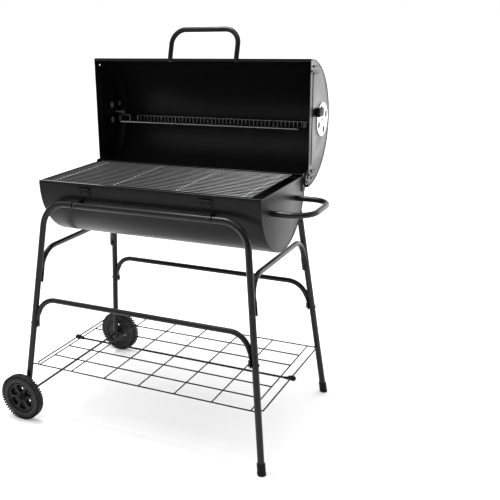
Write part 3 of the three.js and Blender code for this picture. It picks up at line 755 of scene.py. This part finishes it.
def build_lid_caps():
    """The lid's flat ends, each with air holes, seams, a pressed line and corner fixings."""
    pivot_hole = circle(VENT_Y, OPEN_Z, PIVOT_R + GAP, 16)
    loops = [arc(OPEN_Y, OPEN_Z, LID_R, -90, 90, LID_STEPS), pivot_hole]
    for y, z in circle(VENT_Y, OPEN_Z, VENT_HOLE_PCD_R, 4, radians(VENT_HOLE_ANGLE)):
        loops.append(circle(y, z, VENT_HOLE_R, 32))
    for height, depth in CORNER_FIXINGS:
        for z in (OPEN_Z + height, OPEN_Z - height):
            loops.append(circle(OPEN_Y + depth, z, FIXING_HOLE_R, 16))
    seam_r = 1.2
    inset = 1.4
    corner = LID_R - 3
    rim = arc(OPEN_Y, OPEN_Z, LID_R - inset, -88, 88, 72)
    mouth = [(OPEN_Y + inset, OPEN_Z + height) for height in (-corner, corner)]
    pressed = [(OPEN_Y + 26, OPEN_Z + height) for height in (-122, 138)]
    for side, s in SIDES:
        cap = plate(loops, (s * (LID_HALF - SHEET), s * LID_HALF))
        face = s * (LID_HALF - 0.3)
        for line, radius in ((rim, seam_r), (mouth, seam_r), (pressed, 1.6)):
            cap.join(bead([(face, y, z) for y, z in line], radius))
        make_piece(f"lid_cap_{side}", cap, PAINT, [f"lid_end_{side}"], "lid")
        screws = Shape()
        for height, depth in CORNER_FIXINGS:
            for sign in (-1, 1):
                if (side, sign, depth) != OPEN_HOLE:
                    spot = lid_point(s * LID_HALF, depth, sign * height)
                    screws.join(cross_head(spot, (s, 0, 0), 4.2, 2.4))
        make_piece(f"lid_cap_screws_{side}", screws, TUBE, body="lid")


def build_lid_handle():
    """The bent tube on the lid, with a bolt inside the lid at each foot."""
    reach = asin(LID_HANDLE_DEPTH / LID_R)
    up = Vector((0, sin(reach), cos(reach)))
    axis = Vector((0, OPEN_Y, OPEN_Z))

    def at(x, distance):
        return axis + up * (LID_R + distance) + Vector((x, 0, 0))

    half = LID_HANDLE_HALF
    corners = [at(-half, GAP), at(-half, LID_HANDLE_REACH), at(half, LID_HANDLE_REACH), at(half, GAP)]
    shape = sweep(route(corners, LID_HANDLE_BEND_R, 16), HANDLE_R, 24)
    make_piece("lid_handle_tube", shape, TUBE, ["lid_handle"], "lid")
    bolts = Shape()
    for x in (-half, half):
        bolts.join(hex_head(at(x, -SHEET), -up))
    make_piece("lid_handle_bolts", bolts, ZINC, body="lid")


def rounded_box(low, high, radius):
    """The outline of a box with round corners, between two corners."""
    left = low[0] + radius
    right = high[0] - radius
    bottom = low[1] + radius
    top = high[1] - radius
    outline = arc(right, bottom, radius, 270, 360, 6) + arc(right, top, radius, 0, 90, 6)
    return outline + arc(left, top, radius, 90, 180, 6) + arc(left, bottom, radius, 180, 270, 6)


def build_hinges():
    """At each end a leaf on the bowl, a leaf in the lid, and the pin and washer through both."""
    thick = 2
    bowl_face = BOWL_HALF + GAP
    lid_face = LID_HALF - SHEET - GAP
    inside = BOWL_HALF - SHEET - GAP
    reach = LID_HALF - SHEET - inside
    hole = circle(HINGE_Y, HINGE_Z, PIVOT_R + GAP, 16)
    bowl_leaf = rounded_box((HINGE_Y - 20, HINGE_Z - 27), (HINGE_Y + 8, HINGE_Z + 27), 6)
    shut_leaf = arc(-1, -2, 10, 270, 360, 8) + [(9, 16), (-6, 48), (-34, 48), (-34, 14)]
    shut_leaf += arc(-8, -2, 10, 180, 270, 8)
    open_leaf = [(HINGE_Y + z, HINGE_Z - y) for y, z in shut_leaf]
    pin = [(0, -3), (5, -3), (6, -2), (6, 0), (PIVOT_R, 0), (PIVOT_R, reach + 1)]
    pin += [(6.6, reach + 1), (6.6, reach + 2.2), (5.6, reach + 3.3), (3, reach + 3.9), (0, reach + 4)]
    ring = [(PIVOT_R, reach), (7.6, reach), (8, reach + 0.3), (8, reach + 0.7)]
    ring += [(7.6, reach + 0.95), (PIVOT_R, reach + 0.95)]
    for side, s in SIDES:
        shape = plate([bowl_leaf, hole], (s * bowl_face, s * (bowl_face + thick)))
        for z in (HINGE_Z - 18, HINGE_Z + 18):
            shape.join(round_head((s * (bowl_face + thick), HINGE_Y - 11, z), (s, 0, 0), 3.6, 1.8))
        make_piece(f"hinge_leaf_bowl_{side}", shape, PAINT, [f"hinge_plate_bowl_{side}"])

        shape = plate([open_leaf, hole], (s * (lid_face - thick), s * lid_face))
        make_piece(f"hinge_leaf_lid_{side}", shape, PAINT, [f"hinge_plate_lid_{side}"], "lid")

        base = (s * inside, HINGE_Y, HINGE_Z)
        for name, profile, finish in (("pin", pin, TUBE), ("washer", ring, ZINC)):
            turned = lathe(profile, base, (s, 0, 0), 28)
            make_piece(f"hinge_{name}_{side}", turned, finish, [f"hinge_bolt_{side}"])


# ---------------- vents and warming rack


def lid_turn(angle_deg):
    """The direction, in the open lid, of an angle in the shut lid from its rear to its top."""
    angle = radians(angle_deg)
    return atan2(-cos(angle), sin(angle))


def damper_grip():
    """The finger tab about its middle, x outwards, with ribs across its outer face."""
    out, across, along = (size / 2 for size in TAB_SIZE)
    rib_base = out - 0.6
    rib_reach = across - 2.5
    rib_pitch = 6
    grip = block((-out, -along, -across), (out, along, across), 1.8, 3)
    for k in range(-2, 3):
        y = rib_pitch * k
        grip.join(block((rib_base, y - 1, -rib_reach), (out, y + 1, rib_reach), 0.25, 1))
    return grip


def build_vents():
    """At each end the damper disc, its finger tab, and the long bolt that it turns on."""
    disc_in = LID_HALF + GAP
    disc_out = disc_in + SHEET
    tab_x = disc_out + GAP + TAB_SIZE[0] / 2
    across, along = TAB_OFFSET
    tip = LID_HALF - 33
    span = disc_out + GAP - tip
    bolt = [(0, 0), (5.2, 0), (6, 0.8), (6, 4), (PIVOT_R, 4), (PIVOT_R, span), (6.6, span)]
    bolt += [(7, span + 0.4), (6.4, span + 1.8), (4.4, span + 2.8), (0, span + 3.2)]
    for side, s in SIDES:
        loops = [circle(VENT_Y, OPEN_Z, VENT_R, 72), circle(VENT_Y, OPEN_Z, PIVOT_R + GAP, 16)]
        first = lid_turn(VENT_HOLE_ANGLE + DAMPER_TURN[side])
        for y, z in circle(VENT_Y, OPEN_Z, VENT_HOLE_PCD_R, 4, first):
            loops.append(circle(y, z, VENT_HOLE_R, 32))
        disc = plate(loops, (s * disc_in, s * disc_out), edge=0.25)
        make_piece(f"damper_disc_{side}", disc, GALVANISED, [f"damper_{side}"], f"{side}_damper")

        place = Matrix.Translation((s * tab_x, VENT_Y + along, OPEN_Z - across))
        grip = damper_grip().moved(place @ Matrix.Diagonal((s, 1, 1, 1)))
        make_piece(f"damper_knob_{side}", grip, PLASTIC, [f"damper_tab_{side}"], f"{side}_damper")

        pivot = lathe(bolt, (s * tip, VENT_Y, OPEN_Z), (s, 0, 0), 28)
        make_piece(f"vent_pivot_{side}", pivot, ZINC, [f"vent_bolt_{side}"], "lid")


def build_warming_rack():
    """The hanging wire rack: a front rail, cross wires bent up at the rear, and two hangers."""
    rail_r = 2.2
    front_z = OPEN_Z - RACK_DROP
    back_z = front_z - RACK_SAG
    top_z = back_z + RACK_LIP

    def cross_wire(x):
        return [(x, RACK_FRONT_Y, front_z), (x, RACK_BACK_Y, back_z), (x, RACK_BACK_Y, top_z)]

    shape = rod((-RACK_HALF, RACK_FRONT_Y, front_z), (RACK_HALF, RACK_FRONT_Y, front_z), rail_r, 14)
    shape.join(rod((-RACK_HALF, RACK_BACK_Y, top_z), (RACK_HALF, RACK_BACK_Y, top_z), 1.6))
    count = int((2 * (RACK_HALF - 6)) // RACK_PITCH)
    for i in range(count + 1):
        shape.join(sweep(route(cross_wire((i - count / 2) * RACK_PITCH), 4, 4), 1.3, 8))
    foot_z = (front_z + back_z) / 2 - 1
    arm_z = OPEN_Z - 10
    for s in (-1, 1):
        x = s * RACK_HALF
        eye_x = s * (LID_HALF - 25)
        shape.join(sweep(route(cross_wire(x), 5, 6), rail_r, 10))
        hanger = [(x, VENT_Y, foot_z), (x, VENT_Y, arm_z)]
        hanger += [(eye_x, VENT_Y, arm_z), (eye_x, VENT_Y, OPEN_Z - 5)]
        shape.join(sweep(route(hanger, 3, 5), 2, 10))
        ring = [(eye_x, y, z) for y, z in circle(VENT_Y, OPEN_Z, PIVOT_R + 2.6, 25)]
        shape.join(bead(ring + ring[:1], 1.7, 10))
    # The rack takes the chrome darkened as painted shade.
    make_piece("warming_rack_wires", shape, RACK, ["warming_rack"], "rack")


# ---------------- stand


def leg_x(z):
    """How far a leg's middle stands from the barrel's middle along x, at a height."""
    return FOOT_X - LEAN_X * z


def leg_y(z):
    """The same along y."""
    return FOOT_Y - LEAN_Y * z


def build_legs():
    """The legs, bent inwards at the top, and the rail and bolts between each pair."""
    for end, e in ENDS:
        rail_y = e * leg_y(RAIL_Z)
        for side, s in SIDES:
            low_z = LEG_LOW_Z[side]
            corners = [
                (s * leg_x(low_z), e * leg_y(low_z), low_z),
                (s * leg_x(RAIL_Z), rail_y, RAIL_Z),
                (s * RAIL_HALF, rail_y, RAIL_Z),
            ]
            shape = sweep(route(corners, LEG_BEND_R, 20), LEG_R, 28)
            make_piece(f"leg_tube_{end}_{side}", shape, TUBE, [f"leg_{end}_{side}"])
        half = RAIL_HALF - GAP
        shape = rod((-half, rail_y, RAIL_Z), (half, rail_y, RAIL_Z), LEG_R, 28)
        make_piece(f"rail_tube_{end}", shape, TUBE, [f"top_rail_{end}"])
        bolts = Shape()
        for s in (-1, 1):
            spot = (s * SPACER_X, rail_y + e * (LEG_R - 0.6), RAIL_Z)
            bolts.join(round_head(spot, (0, e, 0), 6, 4))
        make_piece(f"rail_bolts_{end}", bolts, TUBE)


def build_arches():
    """Four bent tubes between the legs, flattened where they are bolted to them."""
    for end, e in ENDS:
        def at(k, z, e=e):
            return Vector((k * (leg_x(z) - ARCH_OFFSET), e * leg_y(z), z))

        make_arch(f"arch_{end}", at, Vector((1, 0, 0)), LONG_ARCH, [f"long_arch_{end}"])
    for side, s in SIDES:
        def at(k, z, s=s):
            return Vector((s * leg_x(z), k * (leg_y(z) - ARCH_OFFSET), z))

        make_arch(f"arch_{side}", at, Vector((0, 1, 0)), SIDE_ARCH, [f"side_arch_{side}"])


def make_arch(name, at, sideways, heights, stands_for):
    """One arch: round along its top, and pressed flat against the legs at both ends."""
    top = heights["top"]
    low = heights["end"]
    flat_z = heights["bolt"] + ARCH_FLAT_RISE
    round_z = flat_z + ARCH_BLEND
    inset = ARCH_OFFSET - LEG_R - GAP - ARCH_FLAT
    corners = [at(-1, low), at(-1, top), at(1, top), at(1, low)]

    def flatness(z):
        """How flat the tube is at a height: 0 where it is round, 1 where it is pressed flat."""
        share = min(1, max(0, (round_z - z) / ARCH_BLEND))
        return share * share * (3 - 2 * share)

    stations = []
    for point, heading in divided(route(corners, ARCH_BEND_R, 20), 6):
        sign = copysign(1, point.dot(sideways))
        stations.append((point + sideways * sign * inset * flatness(point.z), heading))

    def flatten(point):
        share = flatness(point.z)
        return sideways, ARCH_R + (ARCH_FLAT - ARCH_R) * share

    shape = sweep(stations, ARCH_R, 24, flatten)
    make_piece(name, shape, TUBE, stands_for)


def wing_nut(base, inward):
    """A wing nut on its hub, with two rounded ears."""
    profile = [(0, 0), (5, 0), (4.4, 3.4), (3.6, 5), (2.4, 5), (2.4, 6.4), (0, 6.4)]
    shape = lathe(profile, base, inward, 24)
    up = Vector((0, 0, 1))
    across = inward.cross(up).normalized()
    turn = Matrix((across, up, inward)).transposed().to_4x4()
    ear = [(2.6, 0.8), (6.5, 2.6), (9.4, 4.6), (9.8, 6.8), (8.2, 7.8), (5.6, 6.6), (3, 4.6)]
    for sign in (-1, 1):
        wing = plate([[(sign * u, v) for u, v in ear]], (-1.2, 1.2), Matrix.Identity(4), 0.5)
        shape.join(wing.moved(Matrix.Translation(base) @ turn @ ACROSS_X))
    return shape


def build_fasteners():
    """The wing nuts inside the arches and the round bolt heads outside the legs."""
    bolts = Shape()
    reach = LEG_R + GAP + 2 * ARCH_FLAT
    for end, e in ENDS:
        for side, s in SIDES:
            kinds = (
                ("arch_nut", "wing_nut_long", LONG_ARCH["bolt"], Vector((-s, 0, 0))),
                ("side_nut", "wing_nut_side", SIDE_ARCH["bolt"], Vector((0, -e, 0))),
            )
            for name, node, z, inward in kinds:
                leg = Vector((s * leg_x(z), e * leg_y(z), z))
                nut = wing_nut(leg + inward * reach, inward)
                make_piece(f"{name}_{end}_{side}", nut, TUBE, [f"{node}_{end}_{side}"])
                bolts.join(round_head(leg - inward * (LEG_R - SUNK), -inward, 5, 3))
    make_piece("arch_bolt_heads", bolts, TUBE)


def build_feet():
    """Moulded caps on the feet, leaning with the legs and flat on the floor."""
    profile = [(0, 0), (10.6, 0), (11.8, 0.6), (12.5, 2), (12.5, 8), (12, 9), (12, 31)]
    profile += [(11.6, 33.2), (10.9, 34), (10.3, 34), (10.3, 6), (0, 6)]
    for end, e in ENDS:
        lean = Matrix((
            (1, 0, -LEAN_X, FOOT_X),
            (0, 1, -e * LEAN_Y, e * FOOT_Y),
            (0, 0, 1, 0),
            (0, 0, 0, 1),
        ))
        shape = lathe(profile, (0, 0, 0), (0, 0, 1)).moved(lean)
        make_piece(f"foot_cup_{end}", shape, PLASTIC, [f"foot_cap_{end}"])


# ---------------- wheels

AXLE_X = -leg_x(WHEEL_R)
WHEEL_INNER_Y = leg_y(WHEEL_R) + LEG_R + 5
TREAD_R = WHEEL_R - 2.2
TREAD_LUGS = 50
LUG_HALF = 2.9
TYRE_INNER_R = 48
SIDEWALL_R = 63.5
SPOKES = 6
FIRST_POCKET = 34  # degrees
HUB_BORE = 4.4
ABOUT_Y = ((0, 0, 0), (0, 1, 0))


def pocket(middle_deg, inner_r, outer_r, half_deg):
    """A rounded pocket between two spokes, wider at its outer end."""
    points = []
    for across, out in circle(0, 0, 1, 28):
        along = copysign(abs(out) ** 0.5, out)
        aside = copysign(abs(across) ** 0.5, across)
        r = (inner_r + outer_r) / 2 + along * (outer_r - inner_r) / 2
        turn = radians(middle_deg + aside * half_deg)
        points.append((r * cos(turn), r * sin(turn)))
    return points


def tyre():
    """The tyre's section, recessed in its sidewalls, with a raised line round its middle."""
    w = WHEEL_WIDTH
    shoulder_r = WHEEL_R - 3.6
    profile = [(TYRE_INNER_R, 5), (50, 3), (54, 2), (62, 2), (SIDEWALL_R, 3.6), (shoulder_r, 6)]
    profile += [(TREAD_R, 9), (TREAD_R, w - 9), (shoulder_r, w - 6), (SIDEWALL_R, w - 3.6)]
    profile += [(62, w - 2), (55, w - 1.6), (51.5, w - 2.2), (49.5, w - 4.5), (TYRE_INNER_R, w - 9)]
    line_r = WHEEL_R - 0.4
    line = [(TREAD_R - 2, w / 2 - 1.4), (line_r, w / 2 - 1), (line_r, w / 2 + 1)]
    line += [(TREAD_R - 2, w / 2 + 1.4)]
    return lathe(profile, *ABOUT_Y, 96).join(lathe(line, *ABOUT_Y, 96))


def tread_lugs():
    """Two rows of lugs, half a pitch apart, each lug running down over the shoulder."""
    w = WHEEL_WIDTH
    shape = Shape()
    for k in range(TREAD_LUGS):
        for near, far, shift in ((1.4, 11.0, 0), (w - 11.0, w - 1.4, 0.5)):
            lug = block((TREAD_R - 4, near + 3, -LUG_HALF), (WHEEL_R, far, LUG_HALF), 0.8, 1)
            side = near if near < w / 2 else far - 5
            low = (SIDEWALL_R - 1, side, -LUG_HALF)
            lug.join(block(low, (WHEEL_R - 1.4, side + 5, LUG_HALF), 0.8, 1))
            turn = 2 * pi * (k + shift) / TREAD_LUGS
            shape.join(lug.moved(Matrix.Rotation(turn, 4, "Y")))
    return shape


def wheel_web():
    """The spoked web, the drilled plate behind it, the hub and the ring at the spokes' ends."""
    w = WHEEL_WIDTH
    middles = [FIRST_POCKET + 360 / SPOKES * k for k in range(SPOKES)]
    outline = [circle(0, 0, TYRE_INNER_R + 1, 72), circle(0, 0, HUB_BORE, 20)]
    pockets = [pocket(middle, 17.5, 42, 22) for middle in middles]
    shape = plate(outline + pockets, (10, w - 8), ACROSS_Y, 1.2)
    drilled = []
    for middle in middles[1::2]:
        a = radians(middle)
        drilled.append(circle(26 * cos(a), 26 * sin(a), 4, 16))
    shape.join(plate(outline + drilled, (6, 10.4), ACROSS_Y))
    hub = [(HUB_BORE, -3), (12, -3), (14, -1), (14, 6), (15, 8), (15, w - 4.5), (13.5, w - 2)]
    shape.join(lathe(hub + [(HUB_BORE, w - 2)], *ABOUT_Y, 48))
    ring = [(42.5, w - 8.6), (43.5, w - 7), (45.5, w - 6.6), (48.6, w - 8.6)]
    return shape.join(lathe(ring, *ABOUT_Y, 72))


def build_wheels():
    """Each wheel and its push-on cap, and the axle with a collar beside each leg."""
    outer_y = WHEEL_INNER_Y + WHEEL_WIDTH
    cap = [(0, 6), (3.6, 6), (3.9, 0), (9.4, 0), (10, 0.6), (10, 3.6), (8.6, 6), (5, 8.4), (0, 9)]
    for end, e in ENDS:
        place = Matrix.Translation((AXLE_X, e * WHEEL_INNER_Y, WHEEL_R))
        wheel = tyre().join(tread_lugs()).join(wheel_web())
        wheel.moved(place @ Matrix.Diagonal((1, e, 1, 1)))
        make_piece(f"wheel_body_{end}", wheel, WHEEL, [f"wheel_{end}"], f"{end}_wheel")
        push_cap = lathe(cap, (AXLE_X, e * (outer_y - 2 + 2 * GAP), WHEEL_R), (0, e, 0))
        make_piece(f"axle_push_cap_{end}", push_cap, PLASTIC, [f"axle_cap_{end}"])
    reach = outer_y + 3
    shape = rod((AXLE_X, -reach, WHEEL_R), (AXLE_X, reach, WHEEL_R), AXLE_R, 20)
    bore = AXLE_R - 0.2
    collar = [(bore, 0), (8, 0), (8, 1.2), (bore, 1.2)]
    collar_y = leg_y(WHEEL_R) + LEG_R + 0.3
    for e in (-1, 1):
        shape.join(lathe(collar, (AXLE_X, e * collar_y, WHEEL_R), (0, e, 0), 28))
    make_piece("axle_rod", shape, TUBE, ["axle"])


# ---------------- wire shelf


def build_shelf():
    """Cross wires over long wires, rim wires whose ends bend out to the legs, and end wires."""
    r = SHELF_WIRE_R
    under_z = SHELF_Z - 0.8 * r
    bay_x = 2 * SHELF_X / SHELF_BAYS
    bay_y = 2 * SHELF_Y / SHELF_BAYS
    shape = Shape()
    for i in range(SHELF_BAYS + 1):
        x = -SHELF_X + i * bay_x
        shape.join(rod((x, -SHELF_Y, SHELF_Z), (x, SHELF_Y, SHELF_Z), 0.95 * r))
        if i not in (0, SHELF_BAYS // 2, SHELF_BAYS):
            y = -SHELF_Y + i * bay_y
            shape.join(rod((-SHELF_X, y, under_z), (SHELF_X, y, under_z), r))
    hook_y = leg_y(SHELF_Z) - LEG_R - GAP - 1.6
    bend_x = SHELF_HOOK_X - 8
    for e in (-1, 1):
        half_rim = [(bend_x, e * SHELF_Y, under_z), (SHELF_HOOK_X, e * hook_y, under_z)]
        rim = [(-x, y, z) for x, y, z in reversed(half_rim)] + half_rim
        shape.join(sweep(route(rim, 4, 5), r, 12))
    end_y = SHELF_Y - 14
    for side, s in SIDES:
        end_x = SHELF_END_X[side]
        tuck_x = end_x - s * 9
        half_end = [(end_x, end_y, SHELF_Z), (tuck_x, SHELF_Y, SHELF_Z)]
        end_wire = [(x, -y, z) for x, y, z in reversed(half_end)] + half_end
        shape.join(sweep(route(end_wire, 6, 6), 1.1 * r, 12))
    make_piece("shelf_wires", shape, WIRE, ["shelf_grid"])


def build_shelf_rod():
    """The stout rod under the shelf and the moulded bulbs that clip its ends to the end wires."""
    rod_z = SHELF_Z - SHELF_WIRE_R - SHELF_ROD_R - GAP
    left = (SHELF_END_X["left"] + 4, 0, rod_z)
    right = (SHELF_END_X["right"] - 4, 0, rod_z)
    make_piece("shelf_middle_rod", rod(left, right, SHELF_ROD_R, 20), WIRE, ["shelf_rod"])
    profile = []
    for along, out in reversed(arc(0, 0, 1, 0, 180, 14)):
        along *= BULB_HALF
        fullness = 1 + along / 60
        profile.append((max(0, BULB_R * max(out, 0) ** 0.8 * fullness), along))
    for side, s in SIDES:
        x = SHELF_END_X[side]
        lean = Matrix.Rotation(s * radians(4), 4, "Y")
        place = Matrix.Translation((x, 0, rod_z + 3))
        bulb = lathe(profile, (0, 0, 0), (s, 0, 0), 28).moved(place @ lean)
        neck = rod((x - s * 22, 0, rod_z), (x - s * 6, 0, rod_z), SHELF_ROD_R + 1.3, 20)
        make_piece(f"shelf_bulb_{side}", bulb.join(neck), PLASTIC, [f"shelf_saddle_{side}"])


# ---------------- CAD pieces that stay as they are


def paint_cad_nodes():
    """Gives the spacers and grate ledges, which keep their CAD shapes, the stand's paint."""
    for name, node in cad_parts.items():
        if name.startswith(("bowl_spacer", "grate_ledge")):
            node.data.materials.clear()
            node.data.materials.append(PAINT[0])


# ---------------- studio

CAMERA_SPOT = (1104.3, -2064.9, 1231.7)
CAMERA_AZIMUTH = 28.83  # degrees, from straight in front towards the side handle
CAMERA_ELEVATION = 17.63
CAMERA_ROLL = -1.81
CAMERA_LENS = 57.6
CAMERA_SHIFT = (0.1716, 0.02)
# From here on lengths are in metres.
FLOOR_R = 60
FLOOR_GLOW = 0.14
SUN_ENERGY = 2.2
SUN_WIDTH = 90  # degrees
SUN_TILT = (10, -14)  # degrees about X and Y
# How bright the room is at each place along Y, from the front to the back.
ROOM = {"From Min": -0.5, "From Max": 0.8, "To Min": 0.1, "To Max": 1.25}
# Each panel's name, spot, target, size and power in watts.
PANELS = (
    ("rear_panel", (1.5, 3.3, 0.75), (0.36, 0.3, 0.9), (2.6, 1.5), 30),
    ("top_panel", (-0.4, 0.05, 2.7), (0, 0, 0.75), (0.6, 0.6), 48),
)


def build_camera():
    """A camera placed, turned and rolled as the constants above say, with its picture shifted."""
    data = bpy.data.cameras.new("camera")
    data.lens = CAMERA_LENS
    data.sensor_width = 36
    data.shift_x, data.shift_y = CAMERA_SHIFT
    data.clip_end = 200
    camera = new_object("camera", data)
    turn = Matrix.Rotation(radians(CAMERA_AZIMUTH), 4, "Z")
    tilt = Matrix.Rotation(radians(90 - CAMERA_ELEVATION), 4, "X")
    roll = Matrix.Rotation(radians(CAMERA_ROLL), 4, "Z")
    camera.matrix_world = Matrix.Translation(in_frame(CAMERA_SPOT)) @ turn @ tilt @ roll
    bpy.context.scene.camera = camera


def build_floor():
    """A wide white floor with a faint glow of its own."""
    work = bmesh.new()
    bmesh.ops.create_circle(work, cap_ends=True, segments=96, radius=FLOOR_R)
    mesh = bpy.data.meshes.new("studio_floor")
    work.to_mesh(mesh)
    work.free()
    paper = new_material("studio_floor", (0.92, 0.92, 0.92), 0.9, specular=0.0)
    glow = {"Emission Color": (1, 1, 1, 1), "Emission Strength": FLOOR_GLOW}
    set_inputs(paper.node_tree.nodes["Principled BSDF"], glow)
    mesh.materials.append(paper)
    floor = new_object("studio_floor", mesh)


def add_panel(name, spot, target, size, power):
    """A soft rectangular light at a spot, facing a target."""
    data = bpy.data.lights.new(name, "AREA")
    data.shape = "RECTANGLE"
    data.size, data.size_y = size
    data.energy = power
    light = new_object(name, data)
    facing = (Vector(target) - Vector(spot)).to_track_quat("-Z", "Y")
    light.matrix_world = Matrix.Translation(spot) @ facing.to_matrix().to_4x4()
    light.visible_camera = False


def build_world():
    """Lights the grill by a room that is white behind it and dark in front, seen as plain white."""
    world = bpy.data.worlds.new("studio")
    world.use_nodes = True
    nodes = world.node_tree.nodes
    links = world.node_tree.links
    room = nodes["Background"]
    room.inputs["Color"].default_value = (1, 1, 1, 1)
    place = nodes.new("ShaderNodeTexCoord")
    split = nodes.new("ShaderNodeSeparateXYZ")
    links.new(place.outputs["Generated"], split.inputs["Vector"])
    spread = nodes.new("ShaderNodeMapRange")
    spread.interpolation_type = "SMOOTHSTEP"
    set_inputs(spread, ROOM)
    links.new(split.outputs["Y"], spread.inputs["Value"])
    links.new(spread.outputs["Result"], room.inputs["Strength"])
    backdrop = nodes.new("ShaderNodeBackground")
    set_inputs(backdrop, {"Color": (1, 1, 1, 1), "Strength": 1})
    seen = nodes.new("ShaderNodeLightPath")
    mix = nodes.new("ShaderNodeMixShader")
    links.new(seen.outputs["Is Camera Ray"], mix.inputs["Fac"])
    links.new(room.outputs["Background"], mix.inputs[1])
    links.new(backdrop.outputs["Background"], mix.inputs[2])
    links.new(mix.outputs["Shader"], nodes["World Output"].inputs["Surface"])
    bpy.context.scene.world = world


def build_lights():
    """The room, a wide soft sun overhead and two panels."""
    build_world()
    sun = bpy.data.lights.new("overhead", "SUN")
    sun.energy = SUN_ENERGY
    sun.angle = radians(SUN_WIDTH)
    lamp = new_object("overhead", sun)
    lamp.rotation_euler = (radians(SUN_TILT[0]), radians(SUN_TILT[1]), 0)
    for panel in PANELS:
        add_panel(*panel)
    bpy.context.scene.view_settings.view_transform = "Standard"


# ---------------- assembly

build_bowl()
build_lid_rests()
build_side_handle()
build_cooking_grate()
build_charcoal_grate()
build_lid_shell()
build_lid_caps()
build_lid_handle()
build_hinges()
build_vents()
build_warming_rack()
build_legs()
build_arches()
build_fasteners()
build_feet()
build_wheels()
build_shelf()
build_shelf_rod()
paint_cad_nodes()
build_camera()
build_floor()
build_lights()
